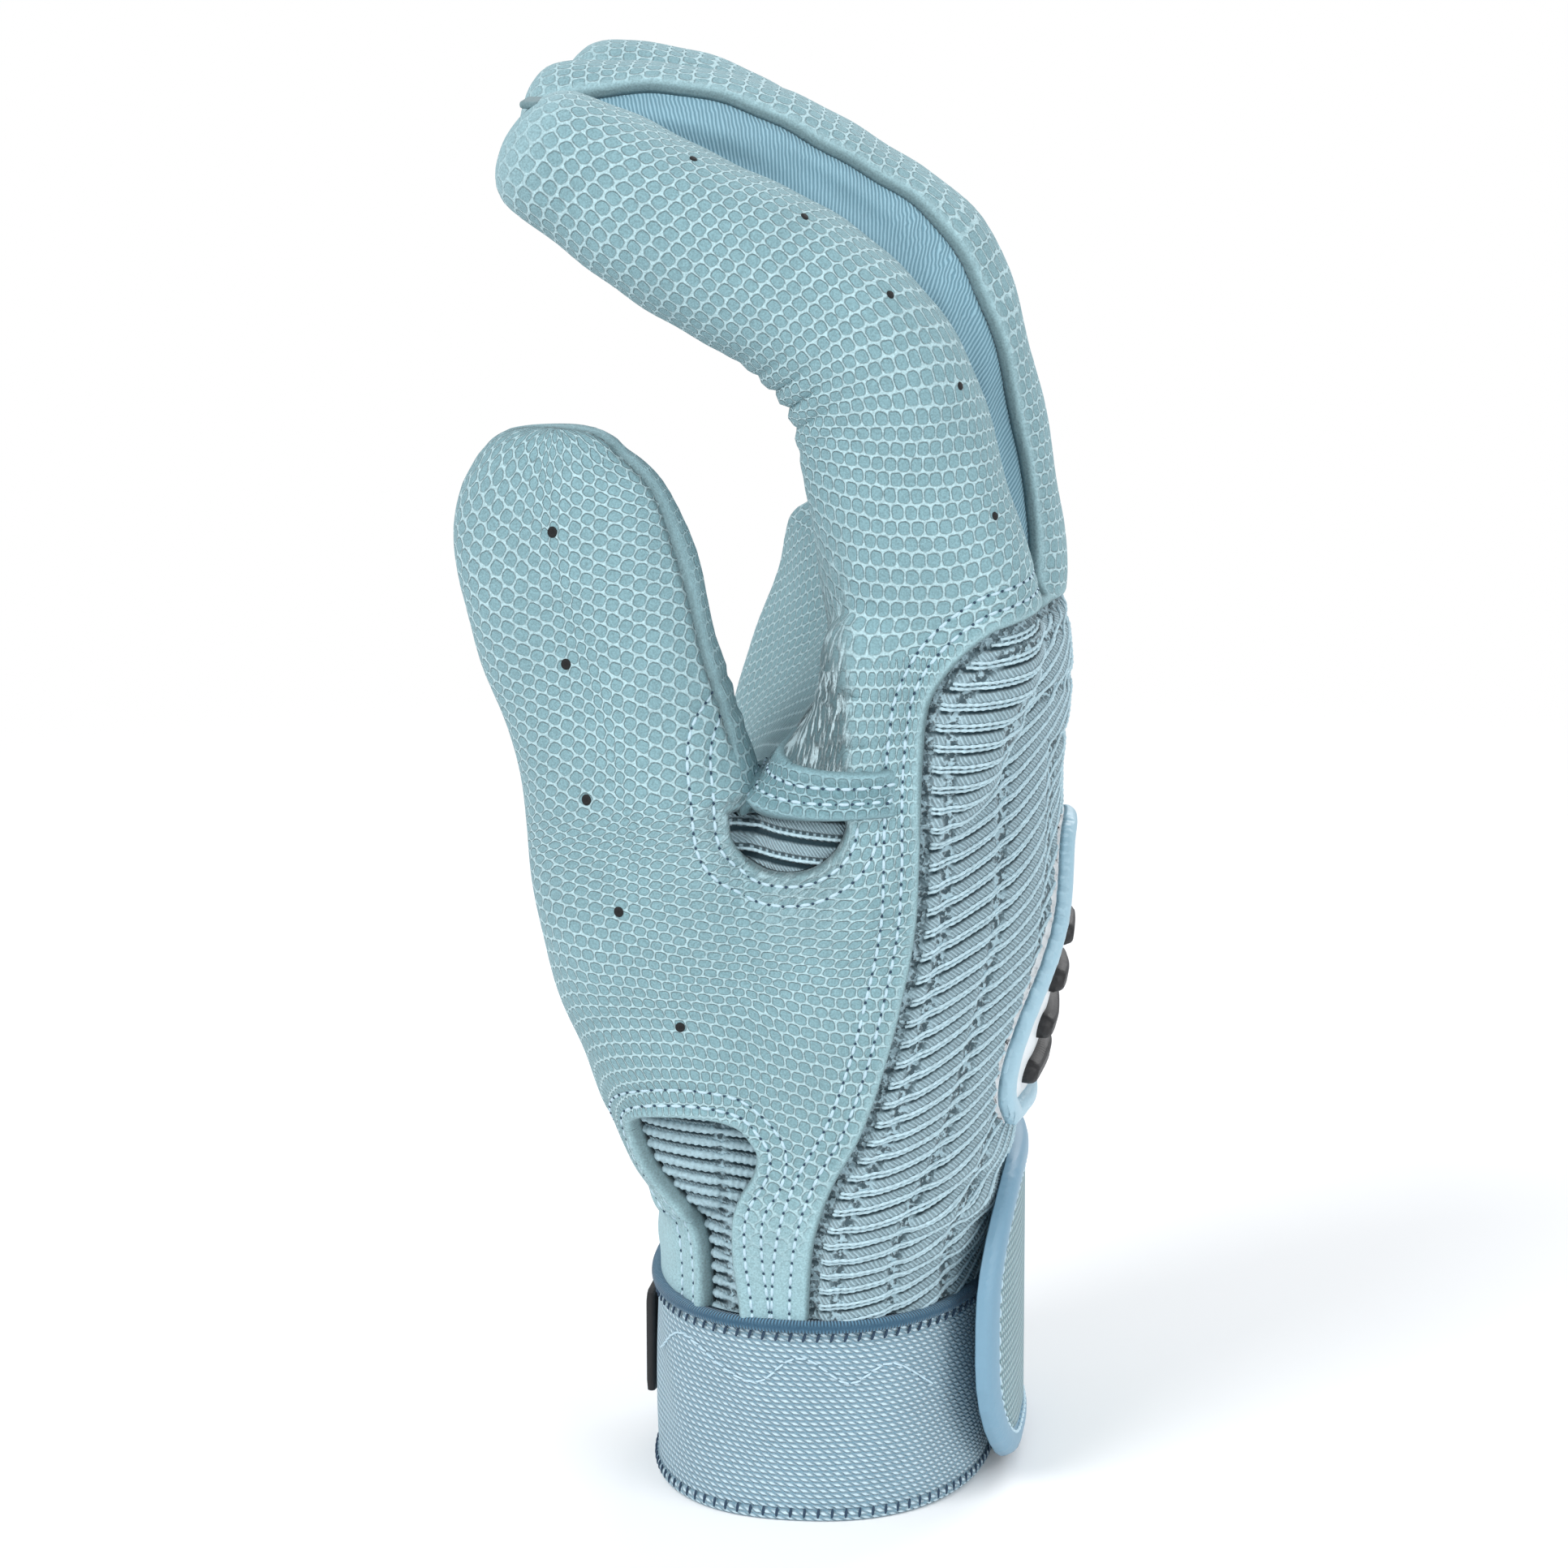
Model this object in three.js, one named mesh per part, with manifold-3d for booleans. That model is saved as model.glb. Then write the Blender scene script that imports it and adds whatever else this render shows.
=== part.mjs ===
// Right-hand batting glove, standing on its wrist cuff with half-curled fingers.
// Millimetres. Z is up from the cuff's hem to the fingers, +X is the back of the hand,
// -X the palm, -Y the thumb side. The shapes are drawn round the middle of the cuff's bottom
// edge, and at the end the whole glove is moved so that the origin is under its middle.
import * as THREE from "three";
import { mergeVertices } from "three/addons/utils/BufferGeometryUtils.js";
import Module from "manifold-3d";

const wasm = await Module();
wasm.setup();

// Clearances and walls
const seam = 0.3; // gap between neighbouring sewn pieces
const overrun = 20; // how far a cutting shape runs past what it cuts
const finest = 0.03; // edges shorter than this are closed up
const leatherWall = 1.5;

// Hand, above the cuff
const handHeight = 101;
const palmWidth = 86;
const palmDepth = 49;

// Cuff
const cuffWidthShare = 0.7674; // of the palm's width
const cuffDepthShare = 0.949; // of the palm's depth
const cuffWall = 2.2;
const hemHeight = 1.8;
const hemFlare = 1.1;
const bandHeight = 24;
const bindingHeight = 2.4;
const bindingFlare = 0.7;

// Fingers: Across and KnuckleX place a knuckle, and Drop is how far it is below the hand's top.
// Rise and Reach are the size of the centre line, from the knuckle to the tip.
const indexWidth = 20.4;
const indexDepth = 28;
const indexRise = 66.5;
const indexReach = 53;
const indexAcross = -31.5;
const indexKnuckleX = 20.1;
const indexDrop = 9.4;
const middleWidth = 20.6;
const middleDepth = 24.4;
const middleRise = 63.5;
const middleReach = 57;
const middleAcross = -10.3;
const middleKnuckleX = 22.2;
const middleDrop = 5.6;
const ringWidth = 20.2;
const ringDepth = 24;
const ringRise = 66;
const ringReach = 51;
const ringAcross = 11;
const ringKnuckleX = 18;
const ringDrop = 7.1;
const littleWidth = 18.4;
const littleDepth = 22;
const littleRise = 53;
const littleReach = 27;
const littleAcross = 30.8;
const littleKnuckleX = 6;
const littleDrop = 10.1;
const foldHeight = 9; // creased band at each finger's root
const foldDrop = 1; // how far a fold's middle starts below the top of the hand
const stallStart = 20; // how deep a finger's shape starts inside the hand
const stallShift = 5; // how far to the palm it starts
const tipLength = 3.5; // the rounded end beyond a centre line
const fingers = [
  {
    name: "index", width: indexWidth, depth: indexDepth, rise: indexRise, reach: indexReach,
    across: indexAcross, knuckleX: indexKnuckleX, drop: indexDrop, gussets: ["far"],
    pathShares: [
      [0, 0], [-0.09, 0.28], [-0.16, 0.555], [-0.32, 0.7], [-0.6, 0.82], [-0.85, 0.935], [-1, 1],
    ],
    depthShares: [1, 0.89, 0.79, 0.78, 0.74, 0.66, 0.55],
  },
  {
    name: "middle", width: middleWidth, depth: middleDepth, rise: middleRise, reach: middleReach,
    across: middleAcross, knuckleX: middleKnuckleX, drop: middleDrop, gussets: ["near", "far"],
    pathShares: [
      [0, 0], [-0.03, 0.22], [-0.08, 0.55], [-0.16, 0.72], [-0.31, 0.82], [-0.52, 0.93],
      [-0.75, 0.99], [-1, 1],
    ],
    depthShares: [1, 0.92, 0.86, 0.84, 0.83, 0.8, 0.76, 0.62],
  },
  {
    name: "ring", width: ringWidth, depth: ringDepth, rise: ringRise, reach: ringReach,
    across: ringAcross, knuckleX: ringKnuckleX, drop: ringDrop, gussets: ["near", "far"],
    pathShares: [
      [0, 0], [-0.01, 0.22], [-0.07, 0.42], [-0.16, 0.59], [-0.31, 0.73], [-0.52, 0.85],
      [-0.74, 0.955], [-1, 1],
    ],
    depthShares: [1, 0.92, 0.87, 0.85, 0.84, 0.81, 0.78, 0.64],
  },
  {
    name: "little", width: littleWidth, depth: littleDepth, rise: littleRise, reach: littleReach,
    across: littleAcross, knuckleX: littleKnuckleX, drop: littleDrop, gussets: ["near"],
    pathShares: [
      [0, 0], [0.03, 0.25], [0, 0.47], [-0.13, 0.66], [-0.37, 0.81], [-0.67, 0.93], [-1, 1],
    ],
    depthShares: [1, 0.95, 0.9, 0.88, 0.85, 0.78, 0.62],
  },
];
const rootShare = 0.5; // a finger's depth where its shape starts inside the hand
const widthShares = [1, 1, 1, 1, 1, 1, 0.74];
const gussetShare = 0.7; // of half a finger's width, where its side gusset begins

// Thumb: the path goes out to the palm, up, and across to the thumb side
const thumbWidth = 32; // of the flat paddle, along X
const thumbThickness = 30; // across Y, at the ball of the thumb
const thumbReach = 25.2;
const thumbRise = 104;
const thumbSpread = 15;
const thumbStartX = -6;
const thumbStartShare = 0.167; // of the hand's height
const thumbAcross = -35.5;
const thumbFoldHeight = 6;
const thumbRootShare = -0.62; // of the reach, where the fold's middle is
const thumbFoldShare = 0.7515; // of the hand's height, the middle of the root fold
const thumbLean = 10; // degrees to the palm
const thumbSeamY = -37.5; // the seam between the thumb's front and back leather
const thumbPathShares = [
  [0, 0, 0], [-0.24, 0.171, 0.33], [-0.42, 0.333, 0.6], [-0.536, 0.481, 0.78], [-0.62, 0.6, 0.9],
  [-0.738, 0.7, 0.97], [-0.873, 0.795, 1], [-0.968, 0.89, 1], [-1, 0.955, 1], [-1, 0.985, 1],
];
const thumbWidthShares = [0.875, 0.95, 1.05, 1.03, 0.95, 0.99, 1.03, 0.95, 0.74, 0.47];
const thumbDepthShares = [0.85, 1.05, 1.03, 0.9, 0.77, 0.68, 0.64, 0.6, 0.51, 0.34];

// Hand sections: height, middle, cup, depth and width, as shares of the hand's sizes
const handShares = [
  [0, 0.02, 0, 0.935, 0.775],
  [0.1, 0.04, 0, 0.94, 0.785],
  [0.22, 0.1, 0.1, 0.97, 0.84],
  [0.37, 0.2, 0.19, 1, 0.93],
  [0.52, 0.33, 0.31, 0.98, 0.984],
  [0.67, 0.45, 0.43, 0.88, 1],
  [0.78, 0.65, 0.55, 0.7, 1],
  [0.88, 0.8, 0.61, 0.57, 0.988],
  [0.955, 0.82, 0.61, 0.52, 0.977],
  [0.98, 0.82, 0.61, 0.44, 0.93],
  [1, 0.82, 0.61, 0.24, 0.86],
];
const crownShare = -0.28; // where across the palm its arch is highest
const middleShare = -0.016; // of half the palm's width, the middle of its sections

// Border of the knit back, seen from the thumb side, as shares of half the depth and the height
const borderShares = [
  [0.17, -0.2], [0.17, 0.06], [0.2, 0.127], [0.29, 0.195], [0.424, 0.263], [0.535, 0.343],
  [0.645, 0.454], [0.73, 0.564], [0.75, 0.674], [0.77, 0.837], [0.88, 0.912], [1.03, 0.945],
  [1.245, 0.984], [1.6, 1.1], [3, 1.1], [3, -0.2],
];
const borderSlope = 0.19; // how far the border moves to the palm for each millimetre across

// Sewn band, web and windows by the thumb, seen from the thumb side
const sideReach = 24; // how far in from the thumb side they are cut
const bandLeft = -9;
const bandRight = 17.6;
const bandLowShare = 0.7198; // of the hand's height, as are the next four
const bandHighShare = 0.7851;
const windowLowShare = 0.6446;
const webHighShare = 0.8802;
const wristHighShare = 0.298;
const windowLeft = -7.6;
const windowRight = 8.2;
const webLeft = -8.4;
const webRight = 7.5;
const wristLeft = -20.4;
const wristRight = -4.4;
const squareShares = [[0, 0], [1, 0], [1, 1], [0, 1]];
const webShares = [[0, 0], [1, 0], [1, 0.8], [0.8, 1], [0, 0.9]];
const crotchWindowShares = [
  [0, 1], [0.05, 0.45], [0.2, 0.1], [0.45, 0], [0.75, 0.12], [0.95, 0.5], [1, 1],
];
const wristWindowShares = [
  [0.5, -0.2], [0.76, -0.2], [0.76, 0.29], [0.78, 0.48], [0.85, 0.6], [0.96, 0.7], [1, 0.81],
  [0.96, 0.86], [0.82, 0.94], [0.57, 0.99], [0.3, 1], [0, 0.96], [0, 0.88], [0.09, 0.73],
  [0.26, 0.58], [0.4, 0.47], [0.5, 0.3],
];

// Closure strap, wound round the back of the cuff
const strapWall = 1.8;
const strapHeight = 44;
const strapLow = 1.5;
const strapCorner = 19;
const strapFlare = 3; // how far its free end stands off beyond the rest
const strapStartAngle = -36; // degrees round the wrist from the back, where its free end lies
const strapEndAngle = 72; // where it is sewn down
const padWall = 0.75;
const padStartAngle = -8;
const padEndAngle = 42;
const padLow = 5;
const padHeight = 19;
const insetWall = 0.7;
const insetMargin = 4.5; // from the strap's edge to its knit inset
const insetStartAngle = -29;
const insetEndAngle = 58;
const anchorStartAngle = 64;
const anchorEndAngle = 92;

// Back patch
const patchWidth = 38;
const patchHeight = 42;
const patchRise = 6.5; // from the strap's top to the patch
const patchWall = 1.2;
const patchMiddle = -1;
const patchShares = [
  [-0.32, 0], [0.32, 0], [0.48, 0.12], [0.5, 0.4], [0.36, 0.72], [0.16, 0.97], [-0.16, 0.97],
  [-0.36, 0.72], [-0.5, 0.4], [-0.48, 0.12],
];
const rimWidth = 3.4;
const raisedWall = 1.2; // of the rim and the moulded bars
const ribWidth = 20;
const ribHeight = 3.6;
const ribPitch = 6.2;
const ribRise = 7; // from the patch's bottom to the lowest bar
const ribCount = 4;
const ribTaper = 2.6; // how much shorter each bar is than the one below

// Pull tab
const tabWidth = 13;
const tabHeight = 15;
const tabWall = 1.7;
const tabLow = 8;
const tabCorner = 4;

// Fineness
const handSides = 30;
const fingerSides = 14;
const fingerSteps = 12;
const thumbSides = 16;
const thumbSteps = 11;
const cuffSides = 36;
const strapSteps = 14;
const outlineSteps = 24;
const cornerSteps = 3;
const tipShares = [0.44, 0.72, 0.92]; // of a quarter turn, the rings of a rounded end
const tipFlatShare = 0.35; // of a tip's width that its end keeps
const squareness = 0.86; // a power below 1 makes a section squarer than an ellipse
const fullTurn = 2 * Math.PI;

// Places that follow from the sizes above
const cuffWidth = cuffWidthShare * palmWidth; // along Y
const cuffDepth = cuffDepthShare * palmDepth; // along X
const bandLow = hemHeight + seam;
const bindingLow = bandLow + bandHeight + seam;
const handLow = bindingLow + bindingHeight + seam;
const handTop = handLow + handHeight;
const halfWidth = palmWidth / 2;
const halfDepth = palmDepth / 2;
const reachAll = handTop + palmWidth + overrun;
const strapStand = 2 * padWall + 3 * seam;
const strapBand = {
  left: bandLeft, right: bandRight, low: onHand(bandLowShare), high: onHand(bandHighShare),
};
const crotchWindow = {
  left: windowLeft, right: windowRight, low: onHand(windowLowShare), high: strapBand.low - seam,
};
const crotchWeb = {
  left: webLeft, right: webRight, low: strapBand.high + seam, high: onHand(webHighShare),
};
const wristWindow = { left: wristLeft, right: wristRight, low: handLow, high: onHand(wristHighShare) };
const patchLow = strapLow + strapHeight + patchRise;

// Colours
const leather = { color: 0x93b7be, roughness: 0.85, metalness: 0 };
const knit = { color: 0x8fadb6, roughness: 0.9, metalness: 0 };
const stretch = { color: 0x6f9fb4, roughness: 0.7, metalness: 0 };
const elastic = { color: 0x9cbccb, roughness: 0.9, metalness: 0 };
const strapCloth = { color: 0xa9c3cc, roughness: 0.6, metalness: 0 };
const rubber = { color: 0x2a2b2d, roughness: 0.55, metalness: 0 };
const patchWhite = { color: 0xe6eaec, roughness: 0.5, metalness: 0 };
const patchRim = { color: 0xb4cedb, roughness: 0.5, metalness: 0 };
const velcro = { color: 0x55686f, roughness: 0.95, metalness: 0 };

const radians = (degrees) => THREE.MathUtils.degToRad(degrees);
const power = (value) => Math.sign(value) * Math.abs(value) ** squareness;

function shareAt(table, t) {
  const place = Math.min(Math.max(t, 0), 1) * (table.length - 1);
  const low = Math.min(Math.floor(place), table.length - 2);
  return table[low] + (table[low + 1] - table[low]) * (place - low);
}

// Solid of a closed geometry, turned outside out if need be.
function solid(source) {
  const bare = source.clone();
  bare.deleteAttribute("normal");
  bare.deleteAttribute("uv");
  const merged = mergeVertices(bare);
  const vertProperties = Float32Array.from(merged.attributes.position.array);
  const triVerts = Uint32Array.from(merged.index.array);
  const made = new wasm.Manifold(new wasm.Mesh({ numProp: 3, vertProperties, triVerts }));
  if (made.volume() > 0) return made;
  const turned = triVerts.slice();
  for (let start = 0; start < turned.length; start += 3) {
    turned[start + 1] = triVerts[start + 2];
    turned[start + 2] = triVerts[start + 1];
  }
  return new wasm.Manifold(new wasm.Mesh({ numProp: 3, vertProperties, triVerts: turned }));
}

// Solid through rings of points. Each end is closed in strips between the ring's two halves.
function loft(rings) {
  const count = rings[0].length;
  const positions = rings.flat().flatMap((point) => point.toArray());
  const index = [];
  for (let row = 0; row + 1 < rings.length; row += 1) {
    for (let side = 0; side < count; side += 1) {
      const a = row * count + side;
      const b = row * count + ((side + 1) % count);
      index.push(a, b, b + count, a, b + count, a + count);
    }
  }
  const last = (rings.length - 1) * count;
  for (let side = 1; side + 1 <= count / 2; side += 1) {
    const here = [side, count - side];
    const before = [side - 1, (count - side + 1) % count];
    const strip = [before[0], here[1], here[0]];
    if (before[0] !== before[1]) strip.push(before[0], before[1], here[1]);
    if (side + 1 === count / 2) strip.push(here[0], here[1], side + 1);
    index.push(...strip);
    for (let at = 0; at < strip.length; at += 3) {
      index.push(last + strip[at], last + strip[at + 2], last + strip[at + 1]);
    }
  }
  const geometry = new THREE.BufferGeometry();
  geometry.setAttribute("position", new THREE.Float32BufferAttribute(positions, 3));
  geometry.setIndex(index);
  return solid(geometry);
}

// The largest separate body of a cut solid.
function largest(cut) {
  return cut.decompose().reduce((best, body) => (body.volume() > best.volume() ? body : best));
}

// Prism of an outline in the XZ or YZ plane, between two values of the third axis.
function prism(outline, plane, from, to, slope = 0) {
  const shape = new THREE.Shape(outline.map(([a, b]) => new THREE.Vector2(a, b)));
  const geometry = new THREE.ExtrudeGeometry(shape, { depth: to - from, bevelEnabled: false });
  const x = new THREE.Vector3(1, 0, 0);
  const y = new THREE.Vector3(0, 1, 0);
  const z = new THREE.Vector3(0, 0, 1);
  const place = new THREE.Matrix4();
  if (plane === "xz") place.makeBasis(x, z, y.clone().negate()).setPosition(0, to, 0);
  else place.makeBasis(y, z, x).setPosition(from, 0, 0);
  geometry.applyMatrix4(place);
  const points = geometry.attributes.position;
  for (let at = 0; at < points.count; at += 1) {
    points.setX(at, points.getX(at) - slope * (points.getY(at) + halfWidth));
  }
  return solid(geometry);
}

// Outline moved outwards by a distance, with mitred corners.
function offset(outline, distance) {
  const count = outline.length;
  const points = outline.map(([a, b]) => new THREE.Vector2(a, b));
  const side = THREE.ShapeUtils.isClockWise(points) ? -1 : 1;
  return points.map((here, at) => {
    const before = here.clone().sub(points[(at + count - 1) % count]).normalize();
    const after = points[(at + 1) % count].clone().sub(here).normalize();
    const out = new THREE.Vector2(before.y + after.y, -before.x - after.x).normalize();
    const mitre = out.dot(new THREE.Vector2(before.y, -before.x));
    return here.clone().addScaledVector(out, (side * distance) / mitre).toArray();
  });
}

function smoothOutline(outline) {
  const points = outline.map(([a, b]) => new THREE.Vector3(a, b, 0));
  const curve = new THREE.CatmullRomCurve3(points, true, "centripetal");
  return curve.getPoints(outlineSteps).slice(0, -1).map((point) => [point.x, point.y]);
}

function inBox(shares, { left, right, low, high }) {
  return shares.map(([a, b]) => [left + a * (right - left), low + b * (high - low)]);
}

// Height of a share of the hand, which starts at the cuff's top.
function onHand(share) {
  return handLow + share * handHeight;
}

// Everything above a leaning line, between two values of Y.
function above(x, z, lean, lift, yLow, yHigh) {
  const along = new THREE.Vector2(Math.sin(lean), Math.cos(lean));
  const across = new THREE.Vector2(along.y, -along.x);
  const base = new THREE.Vector2(x, z).addScaledVector(along, lift);
  const corner = (out, up) => {
    return base.clone().addScaledVector(across, out).addScaledVector(along, up).toArray();
  };
  const corners = [
    corner(-reachAll, 0), corner(reachAll, 0), corner(reachAll, reachAll), corner(-reachAll, reachAll),
  ];
  return prism(corners, "xz", yLow, yHigh);
}

// The hand's shape, drawn in by a distance on every side
function handBody(inset) {
  const inside = Math.max(inset, 0);
  const ring = ([height, middle, cup, depth, width], z) => {
    const crown = crownShare * halfWidth;
    const points = [];
    for (let side = 0; side < handSides; side += 1) {
      const angle = (fullTurn * side) / handSides;
      const y = middleShare * halfWidth + (width * halfWidth - inset) * power(Math.cos(angle));
      const drop = cup * palmDepth * ((y - crown) / (halfWidth - crown)) ** 2;
      const x = middle * halfDepth - drop + (depth * halfDepth - inset) * power(Math.sin(angle));
      points.push(new THREE.Vector3(x, y, z ?? handLow + height * (handHeight - inside)));
    }
    return points;
  };
  const rings = handShares.map((row) => ring(row));
  if (inside > 0) rings.unshift(ring(handShares[0], handLow - overrun));
  return loft(rings);
}

// Tube round a curve that keeps to a plane across Y, with a rounded end.
function stall(curve, steps, sides, halfSizes, inset) {
  const rows = [];
  for (let step = 0; step <= steps; step += 1) rows.push([step / steps, 1, 0]);
  for (const share of tipShares) {
    const angle = (share * fullTurn) / 4;
    rows.push([1, Math.cos(angle), (tipLength - inset) * Math.sin(angle)]);
  }
  return loft(rows.map(([t, narrow, along]) => {
    const tangent = curve.getTangent(t).setY(0).normalize();
    const centre = curve.getPoint(t).addScaledVector(tangent, along);
    const normal = new THREE.Vector3(tangent.z, 0, -tangent.x);
    const [deep, wide] = halfSizes(t);
    const points = [];
    for (let side = 0; side < sides; side += 1) {
      const angle = (fullTurn * side) / sides;
      const flat = tipFlatShare + (1 - tipFlatShare) * narrow;
      const across = (wide - inset) * flat * power(Math.cos(angle));
      const out = (deep - inset) * narrow * power(Math.sin(angle));
      const point = centre.clone().addScaledVector(normal, out);
      points.push(point.setY(point.y + across));
    }
    return points;
  }));
}

function fingerCurve(finger) {
  const points = finger.pathShares.map(([out, up]) => new THREE.Vector3(
    finger.knuckleX + out * finger.reach,
    finger.across,
    handTop - finger.drop + up * finger.rise,
  ));
  const root = points[0].clone().add(new THREE.Vector3(-stallShift, 0, -stallStart));
  return new THREE.CatmullRomCurve3([root, ...points], false, "centripetal");
}

function fingerBody(finger, inset) {
  const depths = [rootShare, ...finger.depthShares];
  const halfSizes = (t) => [
    (shareAt(depths, t) * finger.depth) / 2,
    (shareAt(widthShares, t) * finger.width) / 2,
  ];
  return stall(fingerCurve(finger), fingerSteps, fingerSides, halfSizes, inset);
}

function thumbBody(inset) {
  const curve = new THREE.CatmullRomCurve3(thumbPathShares.map(([out, up, side]) => new THREE.Vector3(
    thumbStartX + out * thumbReach,
    thumbAcross + thumbSpread * (1 - side),
    onHand(thumbStartShare) + up * thumbRise,
  )), false, "centripetal");
  const halfSizes = (t) => [
    (shareAt(thumbWidthShares, t) * thumbWidth) / 2,
    (shareAt(thumbDepthShares, t) * thumbThickness) / 2,
  ];
  return stall(curve, thumbSteps, thumbSides, halfSizes, inset);
}

function wholeBody(inset) {
  const palmAndThumb = handBody(inset).add(thumbBody(inset));
  return fingers.reduce((body, finger) => body.add(fingerBody(finger, inset)), palmAndThumb);
}

const pieces = [];
function keep(name, shape, finish) {
  pieces.push([name, shape, finish]);
}

const shell = wholeBody(0).subtract(wholeBody(leatherWall));
let hand = shell;

// Fingers: a slab across Y for each, cut into the root fold and the pieces of the stall
const slabEdges = fingers.slice(1).map((finger, at) => {
  const nearer = fingers[at];
  return (nearer.across + nearer.width / 2 + finger.across - finger.width / 2) / 2;
});
slabEdges.unshift(-halfWidth - overrun);
slabEdges.push(halfWidth + overrun);

fingers.forEach((finger, at) => {
  const { name, across, knuckleX, pathShares } = finger;
  const knuckleZ = handTop - finger.drop;
  const lean = Math.atan2(pathShares[1][0] * finger.reach, pathShares[1][1] * finger.rise);
  const lift = handTop - knuckleZ - foldDrop - foldHeight / 2;
  const slab = [slabEdges[at] + seam / 2, slabEdges[at + 1] - seam / 2];
  const aboveAt = (height) => above(knuckleX, knuckleZ, lean, lift + height, ...slab);
  const clearOfThumb = prism(inBox(squareShares, {
    left: knuckleX - finger.depth, right: reachAll, low: 0, high: reachAll,
  }), "xz", ...slab);
  const fold = shell.intersect(aboveAt(seam)).subtract(aboveAt(foldHeight - seam)).intersect(clearOfThumb);
  keep(`${name}_fold`, largest(fold), leather);
  const tube = largest(shell.intersect(aboveAt(foldHeight)));
  hand = hand.subtract(above(knuckleX, knuckleZ, lean, lift, slab[0] - seam, slab[1] + seam));

  let wrapped = tube;
  for (const side of finger.gussets) {
    const sign = side === "far" ? 1 : -1;
    const inner = across + sign * gussetShare * (finger.width / 2);
    const outer = across + sign * halfWidth;
    const cutAt = (edge) => above(0, 0, 0, 0, Math.min(edge, outer), Math.max(edge, outer));
    const gussetName = finger.gussets.length > 1 ? `${name}_gusset_${side}` : `${name}_gusset`;
    keep(gussetName, largest(tube.intersect(cutAt(inner))), stretch);
    wrapped = wrapped.subtract(cutAt(inner - sign * seam));
  }
  if (finger.gussets.length === 1) {
    keep(`${name}_leather`, largest(wrapped), leather);
    return;
  }
  const line = fingerCurve(finger).getPoints(fingerSteps).map((point) => [point.x, point.z]);
  const [[rootX], [tipX, tipZ]] = [line[0], line.at(-1)];
  const backOutline = [
    [rootX, 0], ...line, [tipX - overrun, tipZ], [tipX - overrun, reachAll], [reachAll, reachAll],
    [reachAll, 0],
  ];
  const backAt = (distance) => prism(offset(backOutline, distance), "xz", -reachAll, reachAll);
  keep(`${name}_back`, largest(wrapped.intersect(backAt(0))), leather);
  keep(`${name}_palm`, largest(wrapped.subtract(backAt(seam))), leather);
});

// Thumb: stall above its root fold, in a front and a back panel
const thumbRootX = thumbStartX + thumbRootShare * thumbReach;
const thumbZone = [thumbAcross - thumbThickness, thumbAcross + thumbThickness / 2];
const thumbAbove = (height, low, high) => above(
  thumbRootX, onHand(thumbFoldShare), radians(-thumbLean), height - thumbFoldHeight / 2, low, high,
);
const thumbShell = thumbBody(0).subtract(thumbBody(leatherWall));
const frontCut = thumbAbove(thumbFoldHeight, thumbZone[0], thumbSeamY);
const backCut = thumbAbove(thumbFoldHeight, thumbSeamY + seam, thumbZone[1]);
keep("thumb_front", largest(thumbShell.intersect(frontCut)), leather);
keep("thumb_back", largest(thumbShell.intersect(backCut)), leather);
const palmSide = (limit) => prism([
  [-reachAll, 0], [limit, 0], [limit, reachAll], [-reachAll, reachAll],
], "xz", ...thumbZone);
const foldBand = thumbAbove(seam, ...thumbZone).subtract(thumbAbove(thumbFoldHeight - seam, ...thumbZone));
keep("thumb_fold", largest(hand.intersect(foldBand.intersect(palmSide(strapBand.left - seam)))), leather);
hand = hand.subtract(thumbAbove(0, ...thumbZone).intersect(palmSide(strapBand.left)));

// Hand: the knit back, then the band, web and windows by the thumb, then the palm that is left
const border = borderShares.map(([out, up]) => [out * halfDepth, onHand(up)]);
keep("back_panel", largest(hand.intersect(prism(border, "xz", -reachAll, reachAll, borderSlope))), knit);
let palm = hand.subtract(prism(offset(border, seam), "xz", -reachAll, reachAll, borderSlope));
const sideZone = [-halfWidth - overrun, -halfWidth + sideReach];
const sidePieces = [
  ["crotch_strap", inBox(squareShares, strapBand), leather],
  ["crotch_window", inBox(crotchWindowShares, crotchWindow), knit],
  ["crotch_web", inBox(webShares, crotchWeb), leather],
  ["wrist_window", inBox(wristWindowShares, wristWindow), knit],
];
for (const [name, outline, finish] of sidePieces) {
  keep(name, largest(palm.intersect(prism(outline, "xz", ...sideZone))), finish);
}
for (const [, outline] of sidePieces) {
  palm = palm.subtract(prism(offset(outline, seam), "xz", sideZone[0], sideZone[1] + seam));
}
keep("palm_panel", largest(palm), leather);

// Cuff: three rings one above the other
function cuffRing(low, height, flare) {
  const ring = (inset, z) => {
    const points = [];
    for (let side = 0; side < cuffSides; side += 1) {
      const angle = (fullTurn * side) / cuffSides;
      const x = (cuffDepth / 2 + flare - inset) * power(Math.sin(angle));
      const y = (cuffWidth / 2 + flare - inset) * power(Math.cos(angle));
      points.push(new THREE.Vector3(x, y, z));
    }
    return points;
  };
  const outer = loft([ring(0, low), ring(0, low + height)]);
  const wall = cuffWall + flare;
  return outer.subtract(loft([ring(wall, low - overrun), ring(wall, low + height + overrun)]));
}
keep("cuff_hem", cuffRing(0, hemHeight, hemFlare), elastic);
keep("cuff_band", cuffRing(bandLow, bandHeight, 0), elastic);
keep("cuff_binding", cuffRing(bindingLow, bindingHeight, bindingFlare), stretch);

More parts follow.
